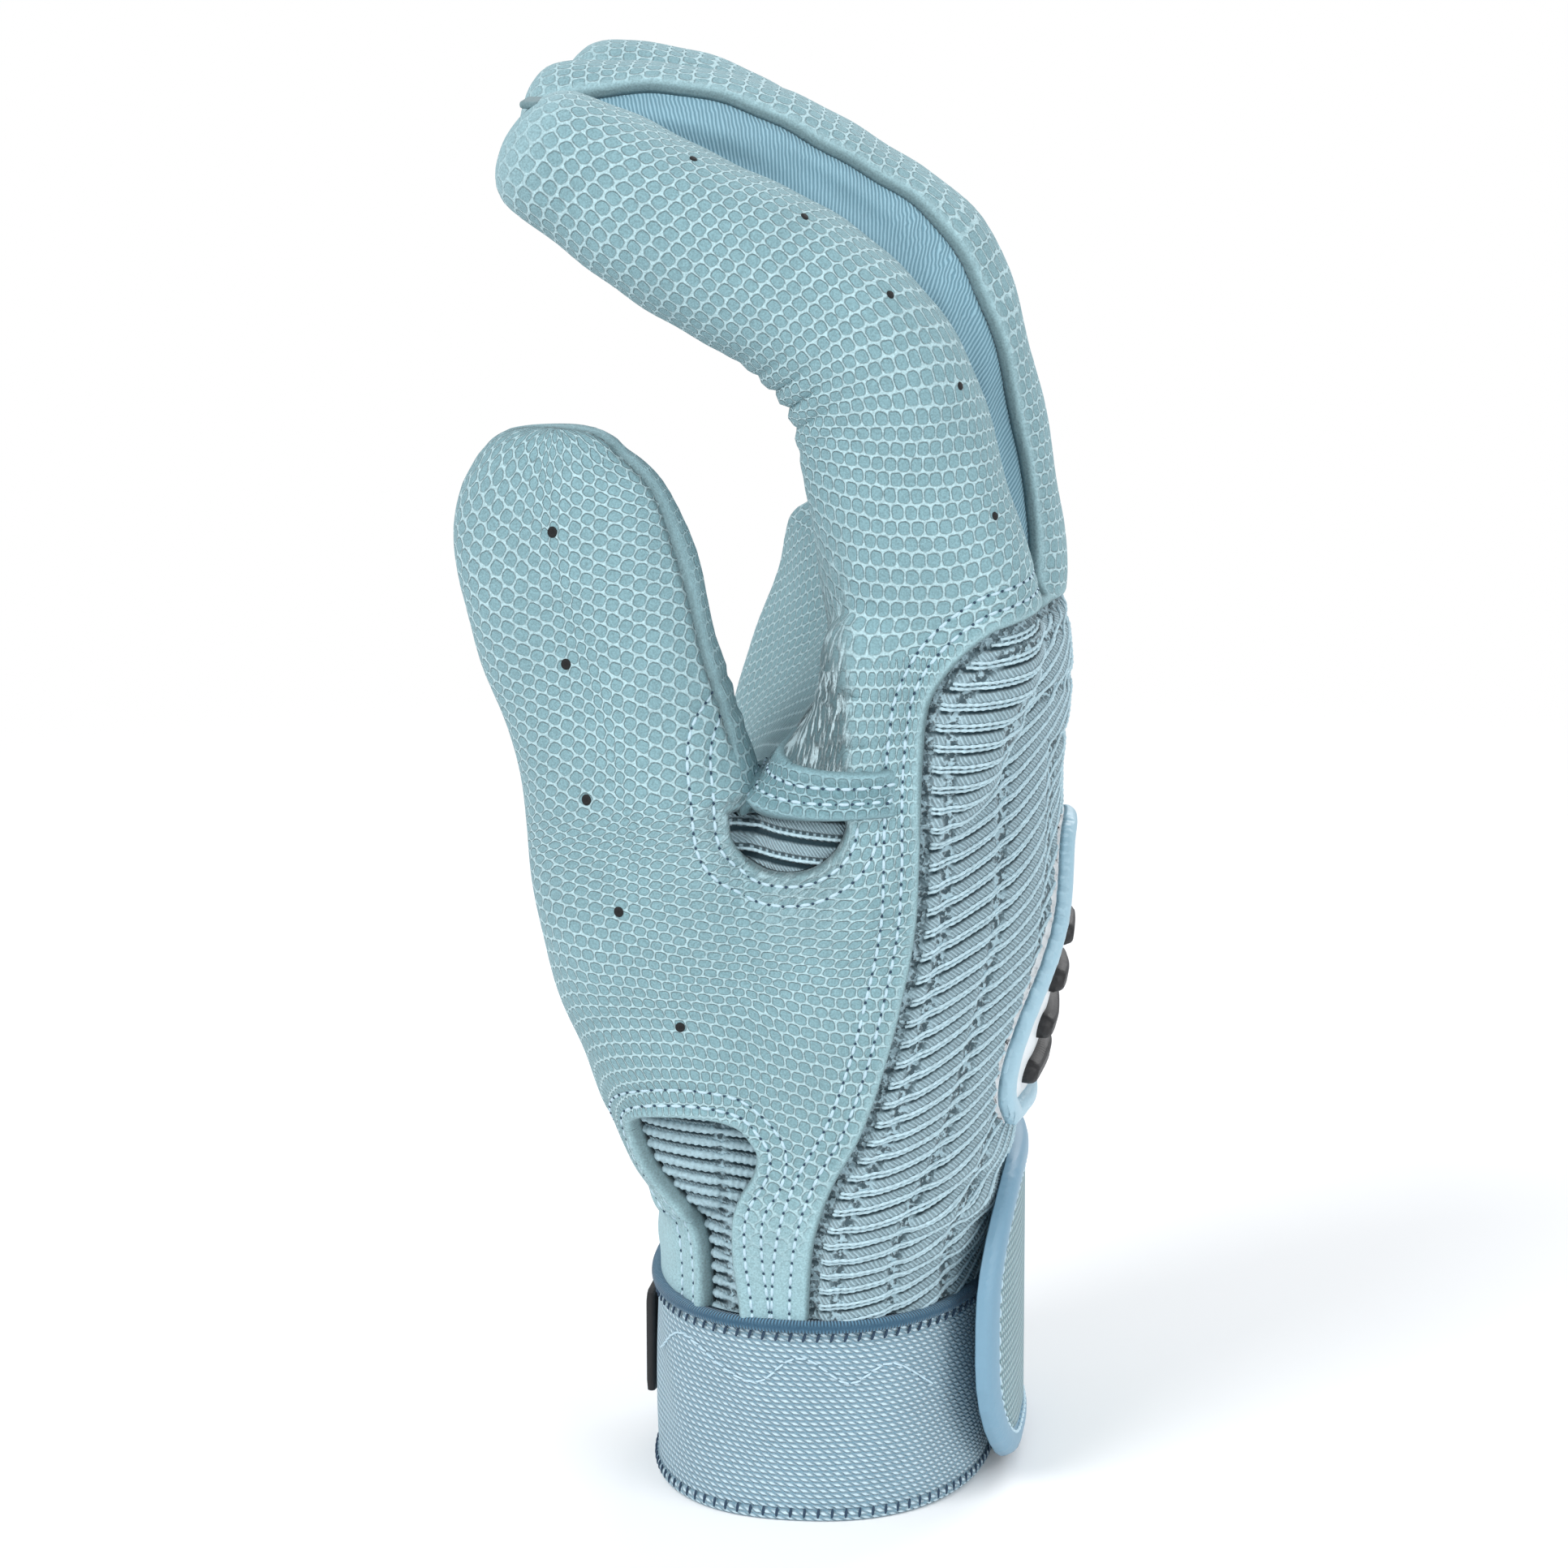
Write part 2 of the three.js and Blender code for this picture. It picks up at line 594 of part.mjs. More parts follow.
// Strap pieces: bent plates that stand off the cuff, with round corners at the free end
function bentPlate(stand, wall, from, to, low, height, corner) {
  const flareEnd = radians((strapStartAngle + strapEndAngle) / 2);
  const rings = [];
  const reach = cuffDepth / 2 + stand;
  for (let step = 0; step <= strapSteps; step += 1) {
    const angle = radians(from + ((to - from) * step) / strapSteps);
    const run = Math.min((angle - radians(from)) * reach, corner);
    const cut = corner - Math.sqrt(corner ** 2 - (corner - run) ** 2);
    const half = Math.max(height / 2 - cut, height / 2 - corner + seam);
    const free = Math.max((flareEnd - angle) / (flareEnd - radians(strapStartAngle)), 0);
    const flare = stand > seam ? strapFlare * free ** 2 : 0;
    const at = (out, z) => new THREE.Vector3(
      (cuffDepth / 2 + out + flare) * power(Math.cos(angle)),
      (cuffWidth / 2 + out + flare) * power(Math.sin(angle)),
      z,
    );
    const middle = low + height / 2;
    rings.push([
      at(stand, middle - half), at(stand + wall, middle - half),
      at(stand + wall, middle + half), at(stand, middle + half),
    ]);
  }
  return loft(rings);
}
const strapOutside = strapStand + strapWall + seam;
const hookStand = padWall + 2 * seam;
const insetHeight = strapHeight - 2 * insetMargin;
const straps = [
  [
    "closure_strap", strapStand, strapWall, strapStartAngle, strapEndAngle, strapLow, strapHeight,
    strapCorner, strapCloth,
  ],
  [
    "strap_inset", strapOutside, insetWall, insetStartAngle, insetEndAngle, strapLow + insetMargin,
    insetHeight, strapCorner - insetMargin, knit,
  ],
  ["loop_pad", seam, padWall, padStartAngle, padEndAngle, padLow, padHeight, seam, velcro],
  ["hook_pad", hookStand, padWall, padStartAngle, padEndAngle, padLow, padHeight, seam, velcro],
  ["strap_anchor", seam, strapWall, anchorStartAngle, anchorEndAngle, padLow, padHeight, seam, strapCloth],
];
for (const [name, ...plate] of straps) keep(name, bentPlate(...plate), plate.at(-1));

// Back patch: layers that follow the back of the hand
const layer = (low, high) => handBody(-high).subtract(handBody(-low));
const patchOutline = smoothOutline(patchShares.map(([across, up]) => [
  patchMiddle + across * patchWidth,
  patchLow + up * patchHeight,
]));
const onBack = (outline) => prism(outline, "yz", 0, reachAll);
keep("patch_base", largest(layer(seam, seam + patchWall).intersect(onBack(patchOutline))), patchWhite);
const raised = layer(2 * seam + patchWall, 2 * seam + patchWall + raisedWall);
const rimRegion = onBack(patchOutline).subtract(onBack(offset(patchOutline, -rimWidth)));
keep("patch_rim", largest(raised.intersect(rimRegion)), patchRim);
for (let rib = 0; rib < ribCount; rib += 1) {
  const half = (ribWidth - rib * ribTaper) / 2;
  const low = patchLow + ribRise + rib * ribPitch;
  const outline = inBox(squareShares, {
    left: patchMiddle - half, right: patchMiddle + half, low, high: low + ribHeight,
  });
  keep(`patch_rib_${rib + 1}`, largest(raised.intersect(onBack(outline))), rubber);
}

// Pull tab on the palm side of the cuff
const tabOutline = [[-tabWidth / 2, tabLow], [tabWidth / 2, tabLow]];
for (const [sign, start] of [[1, 0], [-1, 1]]) {
  for (let step = 0; step <= cornerSteps; step += 1) {
    const angle = ((start + step / cornerSteps) * fullTurn) / 4;
    tabOutline.push([
      sign * (tabWidth / 2 - tabCorner) + tabCorner * Math.cos(angle),
      tabLow + tabHeight - tabCorner + tabCorner * Math.sin(angle),
    ]);
  }
}
const tabFace = -cuffDepth / 2 - seam;
keep("pull_tab", prism(tabOutline, "yz", tabFace - tabWall, tabFace), rubber);

const bounds = new THREE.Box3();
for (const [, shape] of pieces) {
  const { min, max } = shape.boundingBox();
  bounds.expandByPoint(new THREE.Vector3(...min)).expandByPoint(new THREE.Vector3(...max));
}
const middle = bounds.getCenter(new THREE.Vector3());

const group = new THREE.Group();
for (const [name, shape, finish] of pieces) {
  const { vertProperties, triVerts } = shape.simplify(finest).getMesh();
  const geometry = new THREE.BufferGeometry();
  geometry.setAttribute("position", new THREE.Float32BufferAttribute(vertProperties, 3));
  geometry.setIndex([...triVerts]);
  geometry.translate(-middle.x, -middle.y, 0);
  geometry.computeVertexNormals();
  const mesh = new THREE.Mesh(geometry, new THREE.MeshStandardMaterial(finish));
  mesh.name = name;
  group.add(mesh);
}

export default group;
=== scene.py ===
"""Batting glove, right hand, standing on its cuff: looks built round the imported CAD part.

Shapes are worked out in millimetres round the middle of the cuff's bottom edge, and moved
into the scene in metres. +X is the back of the hand, -X the palm, -Y the thumb side.
"""

import functools
import math

import bpy
import numpy as np
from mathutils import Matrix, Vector
from mathutils.bvhtree import BVHTree


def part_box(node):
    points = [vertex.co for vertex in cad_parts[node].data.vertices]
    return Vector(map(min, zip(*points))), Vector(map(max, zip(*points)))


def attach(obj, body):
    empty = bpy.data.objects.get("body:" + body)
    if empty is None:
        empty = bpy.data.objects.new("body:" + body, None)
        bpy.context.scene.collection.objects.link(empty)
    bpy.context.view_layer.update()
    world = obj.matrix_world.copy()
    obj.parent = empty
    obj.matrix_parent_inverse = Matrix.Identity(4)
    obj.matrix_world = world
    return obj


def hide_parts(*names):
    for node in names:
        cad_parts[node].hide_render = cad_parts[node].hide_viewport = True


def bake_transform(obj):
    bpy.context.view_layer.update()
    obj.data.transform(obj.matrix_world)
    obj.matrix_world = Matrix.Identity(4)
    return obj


bl_info = {
    "name": "Batting glove",
    "version": (1, 0, 0),
    "blender": (4, 5, 0),
    "location": "3D View > Sidebar > Glove",
    "description": "Sewn leather, knit, strap and patch of a batting glove",
    "category": "Object",
}

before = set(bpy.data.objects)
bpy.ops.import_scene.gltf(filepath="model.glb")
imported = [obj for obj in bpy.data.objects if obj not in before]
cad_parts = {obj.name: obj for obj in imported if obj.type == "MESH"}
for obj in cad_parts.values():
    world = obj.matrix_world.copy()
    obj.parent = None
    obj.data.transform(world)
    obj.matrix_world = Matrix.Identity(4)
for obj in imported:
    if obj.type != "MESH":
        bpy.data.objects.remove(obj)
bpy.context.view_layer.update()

MM = 0.001
HEM_LOW, HEM_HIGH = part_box("cuff_hem")
SHIFT = np.array([(HEM_LOW[0] + HEM_HIGH[0]) / 2, (HEM_LOW[1] + HEM_HIGH[1]) / 2, 0.0]) / MM

# Sizes of the CAD part, in millimetres
CUFF_WIDTH = 66.0
CUFF_DEPTH = 46.5
HAND_LOW = 29.1
HAND_HEIGHT = 101.0
HAND_TOP = HAND_LOW + HAND_HEIGHT
PALM_WIDTH = 86.0
PALM_DEPTH = 49.0
HALF_WIDTH = PALM_WIDTH / 2
HALF_DEPTH = PALM_DEPTH / 2
FOLD_HEIGHT = 9.0
FOLD_DROP = 1.0
STALL_START = 20.0
STALL_SHIFT = 5.0
TIP_LENGTH = 4.5
SQUARENESS = 0.86
ROOT_SHARE = 0.5
GUSSET_SHARE = 0.7
FINGERS = {
    "index": {
        "width": 20.4, "depth": 28, "rise": 66.5, "reach": 53, "across": -31.5, "out": 20.1, "drop": 9.4,
        "gussets": (1,),
        "path": [(0, 0), (-0.09, 0.28), (-0.16, 0.555), (-0.32, 0.7), (-0.6, 0.82), (-0.85, 0.935), (-1, 1)],
        "depths": [1, 0.89, 0.79, 0.78, 0.74, 0.66, 0.55],
    },
    "middle": {
        "width": 20.6, "depth": 24.4, "rise": 63.5, "reach": 57, "across": -10.3, "out": 22.2, "drop": 5.6,
        "gussets": (-1, 1),
        "path": [
            (0, 0), (-0.03, 0.22), (-0.08, 0.55), (-0.16, 0.72), (-0.31, 0.82), (-0.52, 0.93), (-0.75, 0.99),
            (-1, 1),
        ],
        "depths": [1, 0.92, 0.86, 0.84, 0.83, 0.8, 0.76, 0.62],
    },
    "ring": {
        "width": 20.2, "depth": 24, "rise": 66, "reach": 51, "across": 11, "out": 18, "drop": 7.1,
        "gussets": (-1, 1),
        "path": [
            (0, 0), (-0.01, 0.22), (-0.07, 0.42), (-0.16, 0.59), (-0.31, 0.73), (-0.52, 0.85), (-0.74, 0.955),
            (-1, 1),
        ],
        "depths": [1, 0.92, 0.87, 0.85, 0.84, 0.81, 0.78, 0.64],
    },
    "little": {
        "width": 18.4, "depth": 22, "rise": 53, "reach": 27, "across": 30.8, "out": 6, "drop": 10.1,
        "gussets": (-1,),
        "path": [(0, 0), (0.03, 0.25), (0, 0.47), (-0.13, 0.66), (-0.37, 0.81), (-0.67, 0.93), (-1, 1)],
        "depths": [1, 0.95, 0.9, 0.88, 0.85, 0.78, 0.62],
    },
}
FINGER_WIDTHS = [1, 1, 1, 1, 1, 1, 0.8]
SLAB_EDGES = {"index": (-80, -20.95), "middle": (-20.95, 0.45), "ring": (0.45, 21.35), "little": (21.35, 80)}
THUMB_WIDTH = 32.0
THUMB_THICKNESS = 30.0
THUMB_REACH = 25.2
THUMB_RISE = 104.0
THUMB_SPREAD = 15.0
THUMB_START_X = -6.0
THUMB_START_Z = HAND_LOW + 16.9
THUMB_ACROSS = -35.5
THUMB_FOLD_HEIGHT = 6.0
THUMB_BEND = 12.0
THUMB_ALLOWANCE = (1.4, 3.4)
THUMB_HALVES = (15.5, 10.5)
THUMB_TIP = 2.4
THUMB_FOLD_X = -21.6
THUMB_FOLD_Z = 105.0
THUMB_LEAN = 10.0
THUMB_PATH = [
    (0, 0, 0), (-0.24, 0.171, 0.33), (-0.42, 0.333, 0.6), (-0.536, 0.481, 0.78), (-0.605, 0.6, 0.9),
    (-0.715, 0.7, 0.97), (-0.86, 0.795, 1), (-0.968, 0.89, 1), (-1, 0.955, 1), (-1, 0.985, 1),
]
THUMB_WIDTHS = [0.875, 0.95, 1.05, 1.02, 0.88, 0.86, 0.94, 0.92, 0.77, 0.53]
THUMB_DEPTHS = [0.85, 1.05, 1.03, 0.9, 0.77, 0.68, 0.64, 0.6, 0.51, 0.34]
HAND_ROWS = [
    (0, 0.02, 0, 0.935, 0.775), (0.1, 0.04, 0, 0.94, 0.785), (0.22, 0.1, 0.1, 0.97, 0.84),
    (0.37, 0.2, 0.19, 1, 0.93), (0.52, 0.33, 0.31, 0.98, 0.984), (0.67, 0.45, 0.43, 0.88, 1),
    (0.78, 0.65, 0.55, 0.7, 1), (0.88, 0.8, 0.61, 0.57, 0.988), (0.955, 0.82, 0.61, 0.52, 0.977),
    (0.98, 0.82, 0.61, 0.44, 0.93), (1, 0.82, 0.61, 0.24, 0.86),
]
CROWN_SHARE = -0.28
MIDDLE_SHARE = -0.016
BORDER = [
    (0.17, -0.2), (0.17, 0.06), (0.2, 0.127), (0.29, 0.195), (0.424, 0.263), (0.535, 0.343), (0.645, 0.454),
    (0.73, 0.564), (0.75, 0.674), (0.765, 0.8), (0.8, 0.87), (0.9, 0.912), (1.03, 0.945), (1.245, 0.984),
    (1.6, 1.1), (3, 1.1), (3, -0.2),
]
BORDER_SLOPE = 0.19
SIDE_DEEP = -19.0

# Where the thumb's skin ends: at the fork, behind it and above it
FORK_VALLEY = -5.5
THUMB_BACK = -20.5
THUMB_HIGH = 158.0
FINGERS_CLEAR = 156.0

# Openings and bands: boxes as left, right, low and high, and outlines as shares of them
BAND_BOX = (-9, 17.6, HAND_LOW + 72.7, HAND_LOW + 79.3)
WEB_BOX = (-8.4, 7.5, HAND_LOW + 79.6, HAND_LOW + 88.9)
CROTCH_BOX = (-7.6, 8.2, HAND_LOW + 65.1, HAND_LOW + 72.4)
WRIST_BOX = (-20.4, -4.4, HAND_LOW, HAND_LOW + 30.1)
WEB_SHAPE = [(0, 0), (1, 0), (1, 0.8), (0.8, 1), (0, 0.9)]
CROTCH_SHAPE = [(0, 1), (0.05, 0.45), (0.2, 0.1), (0.45, 0), (0.75, 0.12), (0.95, 0.5), (1, 1)]
FORK_TOP = [(1, 1.2), (1, 2.6), (0.5, 3.2), (0, 2.6)]
WRIST_SHAPE = [
    (0.5, -0.2), (0.76, -0.2), (0.76, 0.29), (0.78, 0.48), (0.85, 0.6), (0.96, 0.7), (1, 0.81), (0.96, 0.86),
    (0.82, 0.94), (0.57, 0.99), (0.3, 1), (0, 0.96), (0, 0.88), (0.09, 0.73), (0.26, 0.58), (0.4, 0.47),
    (0.5, 0.3),
]

# Fineness, in millimetres
VOXEL = 0.95
FINGER_SLIM = 0.7
UNWRAP_ROUNDS = 12
RELAX_ROUNDS = 7

# Where the hand meets the cuff
BINDING_COVER = 1.3
GATHER_HEIGHT = 14.0

# Soft lumps of worn cloth: height, direction, length and phase
LUMPS = [
    (0.22, (0.7, 0.3, 0.64), 31, 0), (0.2, (-0.5, 0.6, 0.62), 23, 1.3), (0.12, (0.2, -0.75, 0.63), 13.5, 2.1),
    (0.08, (0.9, 0.2, -0.4), 9.3, 0.4),
]
CREASES = [(118.5, -0.14), (111.5, 0.1)]


def power(value):
    return np.sign(value) * np.abs(value) ** SQUARENESS


def spline(points, places):
    """Centripetal Catmull-Rom curve through points, at places from 0 to 1."""
    points = np.asarray(points, float)
    ends = np.vstack([2 * points[0] - points[1], points, 2 * points[-1] - points[-2]])
    spans = len(points) - 1
    out = []
    for place in places:
        at = min(max(place, 0), 1) * spans
        first = min(int(at), spans - 1)
        a, b, c, d = ends[first:first + 4]
        ab, bc, cd = (max(np.linalg.norm(q - p) ** 0.5, 1e-6) for p, q in ((a, b), (b, c), (c, d)))
        start = ((b - a) / ab - (c - a) / (ab + bc) + (c - b) / bc) * bc
        end = ((c - b) / bc - (d - b) / (bc + cd) + (d - c) / cd) * bc
        w = at - first
        out.append(
            b * (2 * w**3 - 3 * w**2 + 1) + start * (w**3 - 2 * w**2 + w)
            + c * (3 * w**2 - 2 * w**3) + end * (w**3 - w**2)
        )
    return np.array(out)


def shares(table, places):
    return np.interp(places, np.linspace(0, 1, len(table)), table)


def unit(rows):
    """Each row as a vector of length 1."""
    return rows / np.maximum(np.linalg.norm(rows, axis=1), 1e-12)[:, None]


def run_of(points):
    """How far along a chain each of its points is."""
    return np.concatenate([[0], np.cumsum(np.linalg.norm(np.diff(points, axis=0), axis=1))])


def rows_at(places, run, table):
    """The rows of a table at places along a run."""
    return np.stack([np.interp(places, run, column) for column in table.T], 1)


def face_edges(faces):
    return np.concatenate([faces[:, [0, 1]], faces[:, [1, 2]], faces[:, [2, 0]]])


def grid_faces(rows, wide, closed=True):
    """Two triangles in each square of a grid of points, its rows closed to rings or open."""
    faces = []
    for row in range(rows - 1):
        for at in range(wide if closed else wide - 1):
            a, b = row * wide + at, row * wide + (at + 1) % wide
            faces += [(a, b, b + wide), (a, b + wide, a + wide)]
    return np.array(faces)


def read(rows, key, width, kind=float):
    """One property of all rows of a mesh."""
    values = np.empty(len(rows) * width, dtype=kind)
    rows.foreach_get(key, values)
    return values.reshape(-1, width)


def linked(name, data):
    """A new object of the scene."""
    made = bpy.data.objects.new(name, data)
    bpy.context.scene.collection.objects.link(made)
    return made


def closed_loft(rings):
    """Vertices and faces of a closed solid through rings of points."""
    rings = np.asarray(rings)
    rows, sides = rings.shape[:2]
    verts = np.vstack([rings.reshape(-1, 3), rings[0].mean(0), rings[-1].mean(0)])
    low, high = rows * sides, rows * sides + 1
    faces = []
    for side in range(sides):
        after = (side + 1) % sides
        for row in range(rows - 1):
            a, b = row * sides + side, row * sides + after
            faces.append((a, b, b + sides, a + sides))
        faces.append((low, after, side))
        faces.append(((rows - 1) * sides + side, (rows - 1) * sides + after, high))
    return verts, faces


def hand_loft(sides=120, steps=90, deeper=6.0):
    places = np.linspace(0, 1, steps)
    rows = spline(HAND_ROWS, places)
    rings = []
    crown = CROWN_SHARE * HALF_WIDTH
    angles = np.linspace(0, 2 * math.pi, sides, endpoint=False)
    for row, (height, middle, cup, depth, width) in enumerate([rows[0], *rows]):
        y = MIDDLE_SHARE * HALF_WIDTH + width * HALF_WIDTH * power(np.cos(angles))
        drop = cup * PALM_DEPTH * ((y - crown) / (HALF_WIDTH - crown)) ** 2
        x = middle * HALF_DEPTH - drop + depth * HALF_DEPTH * power(np.sin(angles))
        z = HAND_LOW + height * HAND_HEIGHT - (deeper if row == 0 else 0)
        rings.append(np.stack([x, y, np.full(sides, z)], 1))
    return closed_loft(rings)


def tube_loft(centres, halves, sides=56, slim=0.0, tip=TIP_LENGTH):
    """Tube round a curve that keeps to a plane across Y, with a rounded end."""
    angles = np.linspace(0, 2 * math.pi, sides, endpoint=False)
    tangents = np.gradient(centres, axis=0)
    tangents[:, 1] = 0
    tangents = unit(tangents)
    rows = [(centre, tangent, half, 1.0, 0.0) for centre, tangent, half in zip(centres, tangents, halves)]
    for turn in (0.2, 0.38, 0.54, 0.68, 0.8, 0.9, 0.96):
        angle = turn * math.pi / 2
        rows.append((centres[-1], tangents[-1], halves[-1], math.cos(angle), tip * math.sin(angle)))
    rings = []
    for centre, tangent, (deep, wide), narrow, along in rows:
        normal = np.array([tangent[2], 0, -tangent[0]])
        flat = 0.25 + 0.75 * narrow
        ring = (
            centre + tangent * along
            + np.outer(deep * narrow * power(np.sin(angles)), normal)
            + np.outer((wide - slim) * flat * power(np.cos(angles)), [0, 1, 0])
        )
        rings.append(ring)
    return closed_loft(rings)


def eased(values, reach=4, rounds=2):
    """A row of values with its kinks smoothed and its ends kept."""
    out = np.array(values, float)
    for _ in range(rounds):
        padded = np.concatenate([np.repeat(out[:1], reach, 0), out, np.repeat(out[-1:], reach, 0)])
        mean = sum(padded[k:k + len(out)] for k in range(2 * reach + 1)) / (2 * reach + 1)
        room = np.minimum(np.arange(len(out)), np.arange(len(out))[::-1]) / reach
        keep = np.clip(1 - room, 0, 1).reshape(-1, *[1] * (out.ndim - 1))
        out = out * keep + mean * (1 - keep)
    return out


def finger_line(name, steps=64):
    finger = FINGERS[name]
    knuckle_z = HAND_TOP - finger["drop"]
    points = [
        (finger["out"] + out * finger["reach"], finger["across"], knuckle_z + up * finger["rise"])
        for out, up in finger["path"]
    ]
    root = (points[0][0] - STALL_SHIFT, finger["across"], points[0][2] - STALL_START)
    places = np.linspace(0, 1, steps)
    line = spline([root, *points], places)
    deep = eased(shares([ROOT_SHARE, *finger["depths"]], places)) * finger["depth"] / 2
    wide = eased(shares(FINGER_WIDTHS, places)) * finger["width"] / 2
    return eased(line, 3), np.stack([deep, wide], 1)


def thumb_line(steps=64):
    points = [
        (
            THUMB_START_X + out * THUMB_REACH,
            THUMB_ACROSS + THUMB_SPREAD * (1 - side),
            THUMB_START_Z + up * THUMB_RISE,
        )
        for out, up, side in THUMB_PATH
    ]
    places = np.linspace(0, 1, steps)
    line = spline(points, places)
    wide = eased(shares(THUMB_WIDTHS, places), 5) * THUMB_WIDTH / 2
    deep = eased(shares(THUMB_DEPTHS, places), 5) * THUMB_THICKNESS / 2
    return eased(line, 5), np.stack([wide, deep], 1)


class Sheet:
    """Triangles with values at their corners, which stay right when a triangle is cut."""

    def __init__(self, verts, faces, **data):
        self.verts = np.asarray(verts, float)
        self.faces = np.asarray(faces, int)
        self.data = {name: np.asarray(values, float) for name, values in data.items()}

    def cut(self, field, level=0.0):
        """The same sheet, with edges where the field equals the level."""
        value = self.data[field] - level
        value = np.where(np.abs(value) < 1e-6, 1e-6, value)
        over = value > 0
        count = over[self.faces].sum(1)
        split = (count == 1) | (count == 2)
        tri = self.faces[split]
        if not len(tri):
            return self
        side = over[tri]
        lone = np.where(side.sum(1) == 1, np.argmax(side, 1), np.argmin(side, 1))
        rows = np.arange(len(tri))
        a, b, c = (tri[rows, (lone + k) % 3] for k in range(3))
        pairs = np.sort(np.concatenate([np.stack([a, b], 1), np.stack([a, c], 1)]), axis=1)
        unique, index = np.unique(pairs, axis=0, return_inverse=True)
        index = index.ravel() + len(self.verts)
        low, high = unique.T
        t = value[low] / (value[low] - value[high])
        new = {
            name: np.concatenate([values, (values[low].T * (1 - t) + values[high].T * t).T])
            for name, values in self.data.items()
        }
        new[field][len(self.verts):] = level
        verts = np.vstack([self.verts, self.verts[low] * (1 - t)[:, None] + self.verts[high] * t[:, None]])
        ab, ac = index[: len(tri)], index[len(tri):]
        pieces = [np.stack(f, 1) for f in ((a, ab, ac), (ab, b, c), (ab, c, ac))]
        return Sheet(verts, np.vstack([self.faces[~split], *pieces]), **new)

    def keep(self, field, level=0.0):
        """The part of the sheet where the field is over the level, after a cut there."""
        return self.split(field, level)[0]

    def split(self, field, level=0.0):
        """The parts over and under a level of the field, with the same points along the cut."""
        sheet = self.cut(field, level)
        over = sheet.data[field][sheet.faces].mean(1) > level
        return sheet.only(over), sheet.only(~over)

    def only(self, mask):
        faces = self.faces[mask]
        used, index = np.unique(faces, return_inverse=True)
        data = {name: values[used] for name, values in self.data.items()}
        return Sheet(self.verts[used], index.reshape(-1, 3), **data)

    def with_data(self, **data):
        """The same sheet with more values."""
        return Sheet(self.verts, self.faces, **{**self.data, **data})

    def lifted(self, height):
        """The sheet moved out along its normals."""
        return Sheet(self.verts + self.normals() * height[:, None], self.faces, **self.data)

    def normals(self):
        a, b, c = (self.verts[self.faces[:, k]] for k in range(3))
        cross = np.cross(b - a, c - a)
        out = np.zeros_like(self.verts)
        for k in range(3):
            for axis in range(3):
                out[:, axis] += np.bincount(self.faces[:, k], cross[:, axis], len(out))
        return unit(out)

    def edges(self):
        """Each edge once."""
        return np.unique(np.sort(face_edges(self.faces), axis=1), axis=0)

    def relaxed(self, rounds, factor=0.5):
        """Vertices smoothed in rounds that shrink and then grow."""
        pairs = self.edges()
        both = np.concatenate([pairs, pairs[:, ::-1]])
        degree = np.bincount(both[:, 0], minlength=len(self.verts))[:, None]
        verts = self.verts.copy()
        for turn in range(2 * rounds):
            step = factor if turn % 2 == 0 else -factor * 1.06
            near = np.stack(
                [np.bincount(both[:, 0], verts[both[:, 1], axis], len(verts)) for axis in range(3)], 1
            )
            verts += step * (near / degree - verts)
        return Sheet(verts, self.faces, **self.data)

    def divided(self):
        """Each triangle in four."""
        pairs = self.edges()
        keys = {tuple(pair): at + len(self.verts) for at, pair in enumerate(pairs.tolist())}
        a, b, c = self.faces.T
        ab, bc, ca = (
            np.array([keys[tuple(sorted(pair))] for pair in np.stack(ends, 1).tolist()])
            for ends in ((a, b), (b, c), (c, a))
        )
        faces = np.vstack([np.stack(f, 1) for f in ((a, ab, ca), (ab, b, bc), (ca, bc, c), (ab, bc, ca))])
        low, high = pairs.T
        verts = np.vstack([self.verts, (self.verts[low] + self.verts[high]) / 2])
        data = {name: np.concatenate([v, (v[low] + v[high]) / 2]) for name, v in self.data.items()}
        return Sheet(verts, faces, **data)

    def lines(self, field, level):
        """Chains of points along which the field equals the level, with the normals there."""
        sheet = self.cut(field, level)
        value = sheet.data[field][sheet.faces].mean(1)
        on = np.abs(sheet.data[field] - level) < 1e-5
        normals = sheet.normals()
        pairs = face_edges(sheet.faces[value > level])
        pairs = pairs[on[pairs].all(1)]
        after = {}
        for a, b in pairs.tolist():
            after.setdefault(a, []).append(b)
        ends = {b for _, b in pairs.tolist()}
        starts = [a for a in after if a not in ends] + list(after)
        seen, chains = set(), []
        for start in starts:
            if start in seen:
                continue
            chain = [start]
            seen.add(start)
            while after.get(chain[-1]):
                following = after[chain[-1]].pop()
                chain.append(following)
                if following in seen:
                    break
                seen.add(following)
            if len(chain) > 3:
                chains.append((sheet.verts[chain], normals[chain]))
        return chains


def polygon_distance(points, outline, block=20000):
    """Signed distance to a closed outline, positive inside it."""
    outline = np.asarray(outline, float)
    start, end = outline, np.roll(outline, -1, axis=0)
    run = end - start
    length2 = np.maximum((run**2).sum(1), 1e-12)
    out = np.empty(len(points))
    for first in range(0, len(points), block):
        p = points[first:first + block]
        rel = p[:, None] - start[None]
        t = np.clip((rel * run).sum(2) / length2, 0, 1)
        near = ((rel - t[..., None] * run) ** 2).sum(2).min(1) ** 0.5
        above = (start[:, 1] > p[:, None, 1]) != (end[:, 1] > p[:, None, 1])
        rise = np.where(np.abs(run[:, 1]) < 1e-12, 1e-12, run[:, 1])
        cross = start[:, 0] + (p[:, None, 1] - start[:, 1]) / rise * run[:, 0]
        inside = (above & (p[:, None, 0] < cross)).sum(1) % 2 == 1
        out[first:first + block] = np.where(inside, near, -near)
    return out


def rounded(outline, steps=140):
    """A closed outline as a smooth curve through its points."""
    outline = list(outline)
    return spline([*outline, outline[0]], np.linspace(0, 1, steps, endpoint=False))


